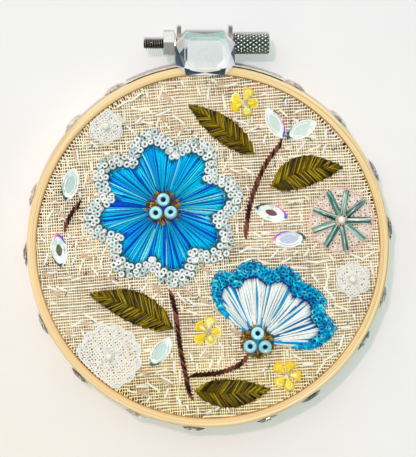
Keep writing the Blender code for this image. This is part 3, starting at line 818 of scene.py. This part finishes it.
def build_round_flower():
    rng = np.random.default_rng(21)
    centre = FLOWER_CENTRE
    pile = Pile()
    angles = circle(192)
    dome(pile, around(centre, angles, petal_radius(angles) - 0.5), centre, PAD_HIGH, paint("006edc"))
    shades = paints(4 * "00d6ff " + 3 * "00b0fa " + "006ae8 0054da 50e8ff 8cf4ff")
    per_petal = 23
    stitch = np.arange(per_petal)
    off = (stitch / (per_petal - 1) - 0.5) * TAU / FLOWER_PETALS * 0.965
    near = np.where(stitch % 3 == 0, 2.6, 4.6)
    fade = 1 - 0.45 * (1 - np.linspace(0, 1, 9)[:, None]) ** 2

    def tints():
        return np.clip(streaks(rng, per_petal, shades), 0, 1)[:, None] * fade

    for petal in range(FLOWER_PETALS):
        middle = FLOWER_TURN + petal * TAU / FLOWER_PETALS
        edge = petal_radius(middle + off) - 0.15
        feet = middle + off * 0.93
        fan(pile, rng, centre, middle + off, feet, edge, (-0.6, 0.3), near, 1.6, (0.15, 0.32), tints)
    pile.make("round_flower_stitches", "blue_floss", "turquoise_thread", "round_flower")
    build_heart("round_flower", rng, centre, 4.4)


def under_stitches(pile, rng, spots, shades, length, radius):
    """Short stitches that hold the beads and knots down, one at each spot."""
    t = np.linspace(-0.5, 0.5, 5)
    ways = length * compass(rng.uniform(0, TAU, len(spots)))
    paths = lift(lines(spots, ways, t), 9.35 + 0.35 * (1 - (2 * t) ** 2))
    tubes(pile, paths, radius, pick(rng, shades, len(spots), vary=0.15))


def build_bead_edging():
    rng = np.random.default_rng(31)
    angles = circle(1600)

    def route(offset):
        return around(FLOWER_CENTRE, angles, petal_radius(angles, offset))

    spots = edging_spots(rng, route, (1.1, 2.65, 4.15), 2.1)
    many = len(spots)
    places = lift(spots, 10.0 + rng.uniform(0, 0.55, many))
    turns = tilts(rng, many, 34)
    upright = rng.uniform(size=many) < 0.12
    turns[upright] = tilts(rng, int(upright.sum()), 90)
    turns *= rng.uniform(0.88, 1.08, many)[:, None, None]
    shades = pick(rng, paints("f8fefc e8f4f2 fffffe cce2e2"), many, [0.4, 0.25, 0.25, 0.1], 0.04)
    pile = Pile()
    stamp(pile, bead(1.08, 0.3, 1.15, 12), turns, places, shades, rng.uniform(size=many))
    pile.make("round_flower_seed_beads", "seed", "pale_beads", "round_flower_edging")

    pile = Pile()
    spots = edging_spots(rng, route, (0.7, 1.5, 2.4, 3.3, 4.2), 1.5, jitter=0.6)
    # Teal band: painted shade in the gaps between the seed beads.
    band(pile, route(-0.4)[::8], route(1.3)[::8], 9.7, paint("148c96"))
    under_stitches(pile, rng, spots, paints("14686c 3c8c8c 08464e"), 1.6, 0.18)
    pile.make("round_flower_bead_thread", "cotton", "turquoise_thread")


def build_half_flower():
    rng = np.random.default_rng(41)
    centre = HALF_BASE
    pile = Pile()
    sweep = np.linspace(HALF_START, HALF_END, 121)
    back = np.linspace(HALF_END, HALF_START + TAU, 25)[1:-1]
    outline = [around(centre, sweep, lobe_radius(sweep) - 0.3), around(centre, back, HALF_HEART - 0.2)]
    dome(pile, np.concatenate(outline), centre, PAD_HIGH, paint("00aad6"))
    per_lobe = 14
    stitch = np.arange(per_lobe)
    share = (stitch + 0.5) / per_lobe
    near = np.where(stitch % 2 == 0, 3.0, 5.0)

    def tints():
        is_blue = rng.uniform(size=per_lobe) < 0.12 + 0.33 * np.abs(2 * share - 1) ** 2
        blues = pick(rng, paints("0096d6 1ea6dc 0070b0"), per_lobe)
        return np.where(is_blue[:, None], blues, pick(rng, paints("fdfdfa eceee8"), per_lobe, vary=0.03))

    for lobe in range(HALF_LOBES):
        angle = HALF_START + (lobe + 0.03 + 0.94 * share) * 2 * HALF_SPREAD / HALF_LOBES
        edge = lobe_radius(angle) - 0.1
        fan(pile, rng, centre, angle, angle, edge, (-0.4, 0.2), near, 1.5, (0.2, 0.42), tints)
    pile.make("half_flower_stitches", "white_floss", "white_blue_thread", "half_flower")

    def route(offset):
        steps = np.linspace(HALF_START, HALF_END, 900)
        return around(centre, steps, lobe_radius(steps, offset))

    pile = Pile()
    # Dark navy band: painted shade in the gaps between the knots.
    band(pile, route(-0.3)[::5], route(4.5)[::5], 9.78, paint("004696"))
    spots = edging_spots(rng, route, (1.2, 2.3, 3.4, 4.4), 1.58, closed=False, jitter=0.35)
    many = len(spots)
    places = lift(spots, 9.85 + rng.uniform(0, 0.4, many))
    shades = pick(rng, paints("0ae2ff 00c8fc 6eeeff 0098d0"), many, [0.4, 0.25, 0.2, 0.15], 0.1)
    turns = tilts(rng, many, 36) * rng.uniform(0.85, 1.12, many)[:, None, None]
    stamp(pile, coil(0.74, 0.26, 1.2, 18), turns, places, shades, rng.uniform(size=many))
    under = edging_spots(rng, route, (0.8, 1.6, 2.4, 3.2, 4.0), 1.4, closed=False, jitter=0.5)
    under_stitches(pile, rng, under, paints("00609e 003c78"), 1.8, 0.22)
    pile.make("half_flower_knots", "knot", "blue_thread", "half_flower_edging")
    build_heart("half_flower", rng, centre, 4.2)


# Leaves, stems and yellow flowers


def build_leaf(name, base, tip, width, bend, rng):
    """Fishbone stitch over a low pad, from a middle line that bends."""
    along = np.subtract(tip, base)
    length = np.linalg.norm(along)
    side = left_of(along) / length

    def at(t):
        """Middle and half width at shares of the leaf's length."""
        t = np.clip(t, 0, 1)[:, None]
        half = width / 2 * arch(t**0.87) ** 0.8
        return base + along * t + side * bend * arch(t), half

    pile = Pile()
    middle, half = at(np.linspace(0.01, 0.99, 40))
    off = side * np.maximum(half - 0.25, 0.05)
    outline = np.concatenate([middle + off, (middle - off)[::-1]])[::-1]
    dome(pile, outline, at(np.array([0.5]))[0][0], PAD_HIGH - 0.1, paint("3e3208"))
    many = int(length / 0.4)
    s = np.linspace(0, 1, 7)
    crown = 1 - (2 * np.abs(s - 0.42)) ** 4 * 0.75
    for way in (1, -1):
        start = np.linspace(-0.02, 0.93, many) + rng.normal(size=many) * 0.004
        end = np.clip(start + 0.15 + 0.04 * rng.uniform(-1, 1, many), 0.02, 0.995)
        edge, half = at(end)
        edge = edge + way * side * (half + rng.uniform(-0.15, 0.30, (many, 1)))
        vein = at(start)[0] - way * side * 0.3
        heights = 9.3 + (PAD_TOP - 9.35) * crown + rng.uniform(-0.08, 0.08, (many, 1))
        shades = pick(rng, paints("8e7200 665000 c4a80a 3a2800"), many, [0.35, 0.3, 0.2, 0.15], 0.12)
        paths = lift(lines(vein, edge - vein, s), heights)
        tubes(pile, paths, 0.18, shades, 6, 1.1, own=rng.uniform(size=many))
    pile.make(f"{name}_stitches", "floss", "olive_thread", name)


def build_stem(name, points, rng):
    """Stem stitch: slanting stitches that overlap into a rope."""
    spots, way = evenly(smooth_route(points), 1.25, closed=False)
    t = np.linspace(-0.5, 0.5, 7)
    paths = lift(lines(spots, 2.5 * way + 1.15 * left_of(way), t), 9.4 + 0.85 * (1 - (2 * t) ** 2))
    shades = pick(rng, paints("4e2016 32120c 8c503e"), len(spots), vary=0.2)
    pile = Pile()
    tubes(pile, paths, 0.37, shades, 6, own=rng.uniform(size=len(spots)))
    pile.make(f"{name}_stitches", "cotton", "brown_thread", name)


def build_yellow_flower(name, centre, rng):
    """Loop stitches: each petal is a doubled loop of thread held down at its tip."""
    pile = Pile()
    t = np.linspace(0, 1, 15)
    shades = paints("ffe654 fff6a4 ffda32")
    for petal in range(5):
        heading = TAU * petal / 5 + rng.normal() * 0.13
        grown = rng.uniform(0.84, 1.04)
        for step, (reach, wide) in enumerate(((4.5, 1.6), (3.9, 0.9), (3.2, 0.3))):
            spots = petal_loop(centre, heading, 0.5, reach * grown, wide, t, 0.85, 0.35)
            path = lift(spots, 9.55 + 0.5 * arch(t) + 0.15 * step)
            tubes(pile, path, 0.43, pick(rng, shades, 1), 6, own=rng.uniform())
        reach = 4.5 * grown - 0.4 + np.linspace(-0.4, 0.55, 5)
        path = lift(around(centre, heading, reach), 9.55 + 0.6 * arch(np.linspace(0.1, 0.9, 5)))
        tubes(pile, path, 0.22, pick(rng, shades, 1), 6)
    pile.make(f"{name}_stitches", "gold", "yellow_thread", name)

    pile = Pile()
    places = lift(around(centre, np.array([0.4, 2.5, 4.6]) + rng.normal() * 0.5, 0.62), 10.35)
    turns = tilts(rng, 3, 50)
    shades = pick(rng, paints("eeece2 cec4aa"), 3)
    stamp(pile, bead(0.62, 0.2, 0.7, 10), turns, places, shades, rng.uniform(size=3))
    pile.make(f"{name}_beads", "pearl", "pale_beads")


# Cut stones

# The large stone's facet tints are painted reflections: white, pale, aqua, ivory, grey, slate, dark and teal,
# and its heart's

CRYSTAL_REFLECTION_CODES = "fafafd e8e6f0 c4eae0 eee2d2 968c80 546070 2c3e4c 245468 f0eff0"
CRYSTAL_REFLECTION_TINTS = dict(zip("wpaigsdth", paints(CRYSTAL_REFLECTION_CODES)))
CRYSTAL_FACET_REFLECTIONS = "ppspwagawitspdwd" "wwwwawaapwgswwii" "h"
# The bud stones' edge, bevel, heart and aurora tints are painted reflections on their foil.
BUD_EDGE_REFLECTIONS = paints(5 * "ffffff " + 2 * "ecf0e2 " + 2 * "ffffff " + "96b8b0 345450 46605c 283c3a cee2d8")
BUD_BEVEL_REFLECTIONS = paints("ffffff f8fcfa d6e4de fcfaf0")
# The girdle's dark tints are painted contact shadow round each bud stone, the pale one a painted glint.
BUD_GIRDLE_SHADOW_AND_GLINTS = paints("544e38 787e70 2c2e2c d2d8ce")
BUD_HEART_REFLECTIONS = paints("cedcd4 d6e0d8 784042 bccec8 605c4c becec8 c4c8dc")
BUD_HEART_SIZES = (0.56, 0.56, 0.36, 0.56, 0.36, 0.56, 0.56)
AURORA_REFLECTIONS = paints("5060d6 7854e2 e254cc ff96be")
# The rim stones' tints are painted reflections.
RIM_STONE_REFLECTIONS = paints("e2dece f0e8e0 e2cec4 60322c aaa6a0 605c54 cec8b0 5c4c3e")
RIM_STONE_REFLECTIONS += paints("968c78 283c3a 1e7874 78968c 1e6060 9696c4 b0c8be beaa96")


def boat(length, width):
    """A pointed oval along X, anticlockwise."""
    angles = math.pi * (np.arange(6) + 0.5) / 6
    upper = np.stack([-length / 2 * np.cos(angles), width / 2 * np.sin(angles) ** 1.3], axis=1)
    return np.concatenate([[(-length / 2, 0)], upper, [(length / 2, 0)], upper[::-1] * (1, -1)])[::-1]


def octagon(length, width, cut):
    x, y = length / 2, width / 2
    half = np.array([(x - cut, -y), (x, cut - y), (x, y - cut), (x - cut, y)])
    return np.concatenate([half, half * -1])


def cut_stone(name, foil, outline, crown, back, back_reflections, turn, place):
    """A crown of clear facets over a mirrored back. Levels are (height, scale, half a step on).

    Each facet has its own corners, so that it is flat and has its own tint: the back's tints are painted
    reflections.
    """
    count = len(outline)
    pile = Pile()

    def facets_between(low, high, low_half, high_half):
        for j in range(count):
            after = (j + 1) % count
            if low_half == high_half:
                yield low + j, low + after, high + after, high + j
            elif high_half:
                yield low + j, low + after, high + j
                yield high + j, low + after, high + after
            else:
                yield low + j, low + after, high + after
                yield high + j, low + j, high + after

    for levels, look in ((crown, 0), (back, 1)):
        halves = (outline + np.roll(outline, -1, axis=0)) / 2
        rings = [lift((halves if half else outline) * scale, height) for height, scale, half in levels]
        points = np.concatenate(rings) @ turn.T + place
        facets = []
        for number, (low, high) in enumerate(zip(levels, levels[1:])):
            facets += facets_between(number * count, (number + 1) * count, low[2], high[2])
        facets.append(range((len(levels) - 1) * count, len(levels) * count))
        for facet, shade in zip(facets, back_reflections if look else np.ones((len(facets), 3))):
            corners = points[list(facet[::-1] if look else facet)]
            pile.add(corners, [np.arange(len(facet))[None]], shade, look=look, smooth=False)
    pile.make(f"{name}_glass", f"crown {foil}", "cut_stone", name)


def build_stones():
    rng = np.random.default_rng(51)
    crown = ((10.85, 1.0, 0), (11.4, 1.0, 0), (12.3, 0.91, 0), (13.1, 0.82, 0), (14.28, 0.665, 0))
    back = ((10.85, 1.0, 0), (10.5, 0.80, 1), (10.35, 0.60, 0))
    tints = [CRYSTAL_REFLECTION_TINTS[letter] for letter in CRYSTAL_FACET_REFLECTIONS]
    outline = octagon(*STONE_SIZE, STONE_CORNER)
    cut_stone("crystal", "foil", outline, crown, back, tints, np.eye(3), (*STONE_CENTRE, 0))

    crown = ((0.55, 1.0, 0), (0.75, 1.0, 0), (1.6, 0.86, 1), (2.36, 0.68, 0))
    shape = boat(10.5, 5.2)
    count = len(shape)
    for number, (centre, degrees) in enumerate(BUDS, 1):
        back = ((0.55, 1.0, 0), (0.5, 0.96, 0), (0.34, 0.72, 1), (0.12, BUD_HEART_SIZES[number - 1], 0))
        outer = np.roll(BUD_EDGE_REFLECTIONS, int(rng.integers(count)), axis=0)
        if number % 2:
            start = int(rng.integers(count))
            outer[(start + np.arange(len(AURORA_REFLECTIONS))) % count] = AURORA_REFLECTIONS
        inner = pick(rng, BUD_BEVEL_REFLECTIONS, 2 * count, vary=0.03)
        girdle = pick(rng, BUD_GIRDLE_SHADOW_AND_GLINTS, count, vary=0.1)
        tints = [*girdle, *np.repeat(outer, 2, axis=0), *inner, BUD_HEART_REFLECTIONS[number - 1]]
        turn = spin(math.radians(degrees))
        cut_stone(f"bud_stone_{number}", "bud_foil", shape, crown, back, tints, turn, (*centre, WORK_Z))

    crown = ((0.26, 1.0, 0), (0.36, 1.0, 0), (0.76, 0.78, 1), (1.08, 0.52, 0))
    back = ((0.26, 1.0, 0), (0.12, 0.6, 1), (0.03, 0.3, 0))
    shape = boat(7.0, 3.6)
    upright = np.array([[0, 0, 1], [1, 0, 0], [0, 1, 0]], float)
    for number, degrees in enumerate(RIM_STONE_ANGLES, 1):
        angle = math.radians(degrees)
        place = (*around((0, 0), angle, RING_R + 0.3), SCREW_Z)
        # Each rim stone's facets: its painted reflection tint, with white painted glints and dark painted
        # shade.
        tints = pick(rng, [RIM_STONE_REFLECTIONS[number - 1]] * 2 + paints("ecece8 322c28"), 4 * count + 1)
        cut_stone(f"rim_stone_{number:02d}", "foil", shape, crown, back, tints, spin(angle) @ upright, place)


# Clamp

THREAD_PITCH, THREAD_DEPTH = 0.7, 0.42
DIAMOND_LENGTH, DIAMONDS_ROUND = 1.85, 14
CLAMP_PARTS = {"lug_left": ("strap", 0.16), "lug_right": ("strap", 0.16), "hex_nut": ("nut", 0.3)}


def thread_radius(x, angle):
    turn = (x / THREAD_PITCH - angle / TAU) % 1.0
    cut = THREAD_DEPTH * np.clip(4.2 * np.abs(turn - 0.5) - 0.5, 0, 1)
    ends = np.clip(np.minimum(x - ROD_END_X, KNOB_START - x) / 0.3, 0, 1)
    return (ROD_R - cut) * (0.85 + 0.15 * ends)


def knurl_radius(x, angle):
    off = [(x / DIAMOND_LENGTH + way * angle * DIAMONDS_ROUND / TAU) % 1.0 - 0.5 for way in (1, -1)]
    cut = 0.6 * np.clip(3.4 * np.maximum(*np.abs(off)) - 0.55, 0, 1)
    ends = np.clip(np.minimum(x - KNOB_START, KNOB_END - x) / 0.4, 0, 1)
    return (KNOB_R - cut * ends) - 0.4 * (1 - ends)


def turned_bar(pile, xs, sides, radius_at, low, high, tints):
    """A bar along X whose radius varies along and round it, with painted shade darkening its hollows."""
    angles = circle(sides)
    radii = radius_at(xs[:, None], angles)
    points = lift(around((SCREW_Y, SCREW_Z), angles, radii), xs[:, None])[..., (2, 0, 1)]
    end = np.arange(sides)[None]
    faces = [quads_of(len(xs), sides)[:, ::-1], end, (len(xs) - 1) * sides + end[:, ::-1]]
    # Painted shade: colour runs from the dark tint in the deepest hollows to the light one on the crests.
    share = np.clip((radii - low) / (high - low), 0, 1)[..., None]
    dark, light = np.array(paints(tints))
    pile.add(points, faces, dark * (1 - share) + light * share)


def build_clamp():
    for name, (look, worn) in CLAMP_PARTS.items():
        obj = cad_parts[name]
        bevel = obj.modifiers.new("worn_edges", "BEVEL")
        bevel.width = worn * MM
        bevel.segments = 2
        bevel.limit_method = "ANGLE"
        bevel.angle_limit = math.radians(35)
        obj.data.materials.clear()
        obj.data.materials.append(LOOKS[look])

    pile = Pile()
    xs = np.arange(ROD_END_X, KNOB_START + 0.1, THREAD_PITCH / 6)
    # The dark tints are painted shade in the thread's grooves and the knurl's hollows; the knob's is teal, a
    # painted reflection.
    turned_bar(pile, xs, 28, thread_radius, ROD_R - THREAD_DEPTH, ROD_R, "060504 b0aca2")
    xs = np.linspace(KNOB_START, KNOB_END, 11 * 8 + 1)
    turned_bar(pile, xs, 10 * DIAMONDS_ROUND, knurl_radius, KNOB_R - 0.55, KNOB_R, "002c24 fffffc")
    pile.make("thumbscrew_metal", "screw", "plated_steel", "thumbscrew", body="screw")


# Lace, net, pearls and bugle beads

CREAM = paints("fffefa faf7f0")
PINKS = paints("ffece3 ffd6c9 fff9f6")
LACE_PETALS, BUGLES = 6, 9


def laid_thread(pile, rng, spots, z, radius, shades, sides=5, flat=0.8):
    """A thread along flat spots, drawn in where it would pass under the outer ring."""
    reach = np.linalg.norm(spots, axis=1, keepdims=True)
    spots = spots * np.minimum(1, WORK_LIMIT_R / np.maximum(reach, 1e-6))
    tubes(pile, lift(spots, z), radius, pick(rng, shades, 1, vary=0.03), sides, flat, own=rng.uniform())


def scalloped(centre, size, scallops, angles):
    return around(centre, angles, size - SCALLOP_DEPTH * (1 - np.abs(np.sin(scallops * angles / 2))))


def finish_lace(pile, rng, name, slot, centre, pearl_r, pearl_z):
    """The sewn-on sheet, and the pearl on its middle."""
    made = pile.make(f"{name}_threads", "lace", slot, name)
    shape = bmesh.new()
    bmesh.ops.create_icosphere(shape, subdivisions=3, radius=pearl_r)
    points = np.array([v.co for v in shape.verts]) * (1, 1, 0.85)
    faces = [[v.index for v in f.verts] for f in shape.faces]
    shape.free()
    pile = Pile()
    stamp(pile, (points, [faces]), tilts(rng, 1, 20), [(*centre, pearl_z)], paints("f8f2e0"), [0.5])
    pile.make(f"{name}_pearl", "pearl", "pale_beads")


def build_lace_flower(name, rng):
    """A scalloped edge, a double ring and petals, on a fine mesh."""
    centre, size, scallops = LACES[name]
    pile = Pile()
    angles = np.linspace(0, TAU, 16 * scallops + 1)
    for offset, radius in ((0.22, 0.24), (0.75, 0.17)):
        laid_thread(pile, rng, scalloped(centre, size - offset, scallops, angles), 9.85, radius, CREAM)
    heart = 0.16 * size + 0.6
    for reach, radius in ((heart, 0.22), (heart + 0.55, 0.14)):
        laid_thread(pile, rng, around(centre, angles, reach), 9.9, radius, CREAM)
    t = np.linspace(0, 1, 28)
    for petal in range(LACE_PETALS):
        heading = TAU * (petal + 0.5) / LACE_PETALS
        for inset, radius in ((0.0, 0.22), (0.5, 0.12)):
            wide = math.pi * size * 0.52 / LACE_PETALS - inset * 0.8
            spots = petal_loop(centre, heading, heart, size - 1.35 - inset, wide, t, 0.75, 0.3)
            laid_thread(pile, rng, spots, 9.98, radius, CREAM)
    step = 0.80
    for way in range(2):
        out = compass(way * math.pi / 2 + 0.6)
        for offset in np.arange(-size, size, step):
            reach = (size - 0.9) ** 2 - offset**2
            if reach <= 0.3:
                continue
            half = math.sqrt(reach)
            span = np.linspace(-half, half, max(4, int(2 * half / step)))
            spots = centre + offset * left_of(out) + span[:, None] * out
            spots += rng.normal(size=spots.shape) * 0.08
            z = 9.66 + 0.06 * way + 0.03 * np.sin(np.arange(len(span)) * 1.7)
            laid_thread(pile, rng, spots, z, 0.2, CREAM, 4, 0.4)
    finish_lace(pile, rng, name, "white_lace", centre, 1.25, 10.9)


def build_pink_net(rng):
    """A net of broken threads between uneven knots, with a scalloped edge."""
    centre, size, scallops = NET
    pile = Pile()
    step = 1.25
    rows = int(size / step) + 1
    at = {}
    for i in range(-rows, rows + 1):
        for j in range(-rows, rows + 1):
            spot = np.array([(i + 0.5 * (j % 2)) * step, j * step * 0.87])
            if np.linalg.norm(spot) < size - 1.0:
                at[i, j] = centre + spot + rng.normal(size=2) * 0.22
    t = np.linspace(0, 1, 5)
    for (i, j), start in at.items():
        for beside in ((i + 1, j), (i + j % 2, j + 1), (i + j % 2 - 1, j + 1)):
            if beside not in at or rng.uniform() < 0.16:
                continue
            sag = rng.normal(size=2) * 0.12
            spots = start + (at[beside] - start) * t[:, None] + sag * arch(t)[:, None]
            z = 9.75 + rng.uniform(-0.1, 0.2) + 0.18 * math.sin(rng.uniform(0, TAU)) * arch(t)
            laid_thread(pile, rng, spots, z, rng.uniform(0.2, 0.34), PINKS, 4, 0.5)
    angles = np.linspace(0, TAU, 14 * scallops + 1)
    for offset in (0.3, 0.85):
        edge = scalloped(centre, size - offset, scallops, angles)
        laid_thread(pile, rng, edge, 9.85, 0.24 - 0.1 * offset, PINKS)
    finish_lace(pile, rng, "net_patch_pink", "pink_net", centre, 1.3, 11.0)


def build_bugle_beads(rng):
    """A ring of long beads that lie round the net's pearl, kept off the outer ring."""
    half = [(0.92, 3.5), (0.85, 3.65), (0.5, 3.65), (0.42, 3.4)]
    profile = [(0.85, -3.65), (0.92, -3.5), *half, (0.42, -3.4), (0.5, -3.65)]
    lying = np.array([[0, 0, 1], [0, 1, 0], [-1, 0, 0]], float)
    turns, places = [], []
    for number in range(BUGLES):
        angle = math.radians(360 * number / BUGLES + rng.normal() * 3)
        spot = around(NET[0], angle, 5.6 + rng.uniform(-0.2, 0.2))
        if np.linalg.norm(spot) > 46.3:
            spot = around(NET[0], angle, 5.2)
        turns.append(spin(angle) @ lying)
        places.append((*spot, 10.9))
    shades = pick(rng, paints("2c7a6a 468e7c 709e90 205e56"), BUGLES, vary=0.1)
    pile = Pile()
    stamp(pile, turned(profile, 14), np.array(turns), places, shades, rng.uniform(size=BUGLES))
    pile.make("bugle_beads", "bugle", "round_beads")


# Loose stitches


def free_of_work(spots, margin):
    """Which spots are on bare linen, this far from any other work."""
    free = np.linalg.norm(spots, axis=1) < WORK_LIMIT_R - 0.6 - margin
    off = spots - FLOWER_CENTRE
    free &= np.hypot(*off.T) > petal_radius(np.arctan2(off[:, 1], off[:, 0]), 5.2) + margin
    off = spots - HALF_BASE
    angle = np.mod(np.arctan2(off[:, 1], off[:, 0]) - HALF_AIM + math.pi, TAU) - math.pi
    reach = np.where(np.abs(angle) < HALF_SPREAD, lobe_radius(angle + HALF_AIM, 4.6), HALF_HEART + 0.6)
    free &= np.hypot(*off.T) > reach + margin
    discs = [(centre, size) for centre, size, _ in (*LACES.values(), NET)]
    discs += [(centre, YELLOW_REACH + 0.3) for centre in YELLOW_FLOWERS]
    for centre, size in discs:
        free &= np.hypot(*(spots - centre).T) > size + margin
    bars = [(base, tip, width / 2) for base, tip, width, _ in LEAVES.values()]
    for points in STEMS.values():
        route = smooth_route(points, 4)
        bars += [(a, b, 0.9) for a, b in zip(route, route[1:])]
    for centre, degrees in BUDS:
        way = 4 * compass(math.radians(degrees))
        bars.append((centre - way, centre + way, 2.4))
    for start, end, half in bars:
        along = np.subtract(end, start)
        t = np.clip((spots - start) @ along / (along @ along), 0, 1)
        free &= np.linalg.norm(spots - start - t[:, None] * along, axis=1) > half + 0.3 + margin
    return free


def scattered(rng, gap, margin, tries=5000):
    """Spots on bare linen, at least a gap apart."""
    candidates = rng.uniform(-CLOTH_R, CLOTH_R, (tries, 2))
    candidates = candidates[free_of_work(candidates, margin)]
    kept = candidates[:1]
    for spot in candidates[1:]:
        if (np.linalg.norm(kept - spot, axis=1) > gap).all():
            kept = np.concatenate([kept, spot[None]])
    return kept


def lying_stitches(pile, rng, spots, heading, length, radius, shades, bend):
    """Single stitches on the linen, each a little bent."""
    way = compass(heading)
    t = np.linspace(-0.5, 0.5, 7)
    curve = rng.normal(size=(len(spots), 1)) * bend * (1 - (2 * t) ** 2)
    flat = lines(spots, length[:, None] * way, t) + left_of(way)[:, None] * curve[..., None]
    paths = lift(flat, 9.28 + 0.34 * (1 - (2 * t) ** 4))
    tubes(pile, paths, radius, shades, 5, 0.6, own=rng.uniform(size=len(spots)))


def build_loose_stitches():
    rng = np.random.default_rng(61)
    pile = Pile()
    spots = scattered(rng, 2.9, 0.6)
    many = len(spots)
    heading = spots[:, 0] / 16 + spots[:, 1] / 23 + rng.normal(size=many) * 0.8
    length = rng.uniform(2.6, 5.2, many)
    half = 0.5 * length[:, None] * compass(heading)
    clear = free_of_work(spots + half, 0.0) & free_of_work(spots - half, 0.0)
    length = np.where(clear, length, 1.8)
    shades = pick(rng, paints("fffef8 fffae8"), many, vary=0.02)
    lying_stitches(pile, rng, spots, heading, length, 0.33, shades, 0.14)
    pile.make("seed_stitches_white", "straw", "linen")

    pile = Pile()
    spots = scattered(rng, 5.2, 1.4, 900)
    spots = spots[spots[:, 0] < 12]
    many = len(spots)
    heading = -0.55 + rng.normal(size=many) * 0.25
    for number in (-1, 0, 1):
        shades = pick(rng, paints("fce2c0 f6d2ac"), many, vary=0.05)
        beside = spots + left_of(compass(heading)) * number * 0.42
        lying_stitches(pile, rng, beside, heading, rng.uniform(2.8, 3.6, many), 0.2, shades, 0.1)
    pile.make("seed_stitches_peach", "cotton", "linen")

    pile = Pile()
    spots = scattered(rng, 5.5, 0.3, 500)
    many = len(spots)
    shades = pick(rng, paints("1e8282 14606e"), many, vary=0.1)
    heading = rng.uniform(0, TAU, many)
    lying_stitches(pile, rng, spots, heading, rng.uniform(0.8, 1.5, many), 0.17, shades, 0.05)
    pile.make("seed_stitches_teal", "cotton", "turquoise_thread")


# Stage

SKY_AIM = (-0.251, 0.742, 0.622)
SKY_STOPS = (
    (0.0, (0.10, 0.12, 0.11)),
    (0.42, (0.13, 0.25, 0.22)),
    (0.62, (0.22, 0.44, 0.38)),
    (0.72, (0.56, 0.62, 0.58)),
    (0.84, (1.0, 1.03, 1.0)),
)
LIGHTS = {
    "key": ((-0.38, 0.52, 1.60), 0.11, 6.9, (1.0, 0.60, 0.71)),
    "overhead": ((0.03, -0.175, 1.5), 0.10, 10.6, (0.90, 1.0, 0.97)),
    "warm_fill": ((-0.26, -0.28, 0.26), 0.16, 0.09, (1.0, 0.74, 0.46)),
}


def build_stage():
    """A pale floor under a sky that is bright on the clamp's side, with three lights."""
    bpy.ops.mesh.primitive_plane_add(size=4)
    floor = bpy.context.object
    floor.name = "studio_floor"
    floor.data.materials.append(floor_look())

    scene = bpy.context.scene
    scene.world = bpy.data.worlds.new("studio")
    sky = Look(scene.world)
    height = sky.node("VectorMath", {0: sky.node("TexCoord"), 1: SKY_AIM}, 1, operation="DOT_PRODUCT")
    sky.fill(sky.tree.nodes["Background"], {"Color": sky.ramp(height, SKY_STOPS), "Strength": 0.88})

    for name, (place, size, watts, colour) in LIGHTS.items():
        light = bpy.data.lights.new(name, "AREA")
        light.shape = "DISK"
        light.size = size
        light.energy = watts
        light.color = colour
        obj = bpy.data.objects.new(name, light)
        scene.collection.objects.link(obj)
        obj.location = place
        obj.rotation_euler = (-obj.location).to_track_quat("-Z", "Y").to_euler()

    camera = bpy.data.cameras.new("camera")
    camera.sensor_width = 36
    camera.lens = 155.5
    camera.clip_start, camera.clip_end = 0.05, 10
    eye = bpy.data.objects.new("camera", camera)
    scene.collection.objects.link(eye)
    eye.location = (0, 0, 0.6 + CLOTH_TOP * MM)
    scene.camera = eye
    scene.view_settings.view_transform = "Standard"
    scene.view_settings.exposure = 0.0


build_rings()
build_linen()
build_round_flower()
build_bead_edging()
build_half_flower()
leaf_rng = np.random.default_rng(71)
for leaf_name, leaf in LEAVES.items():
    build_leaf(leaf_name, *leaf, leaf_rng)
for stem_name, stem in STEMS.items():
    build_stem(stem_name, stem, leaf_rng)
for flower_number, flower in enumerate(YELLOW_FLOWERS, 1):
    build_yellow_flower(f"yellow_flower_{flower_number}", flower, leaf_rng)
build_stones()
build_clamp()
for lace_name in LACES:
    build_lace_flower(lace_name, leaf_rng)
build_pink_net(leaf_rng)
build_bugle_beads(leaf_rng)
build_loose_stitches()
build_stage()
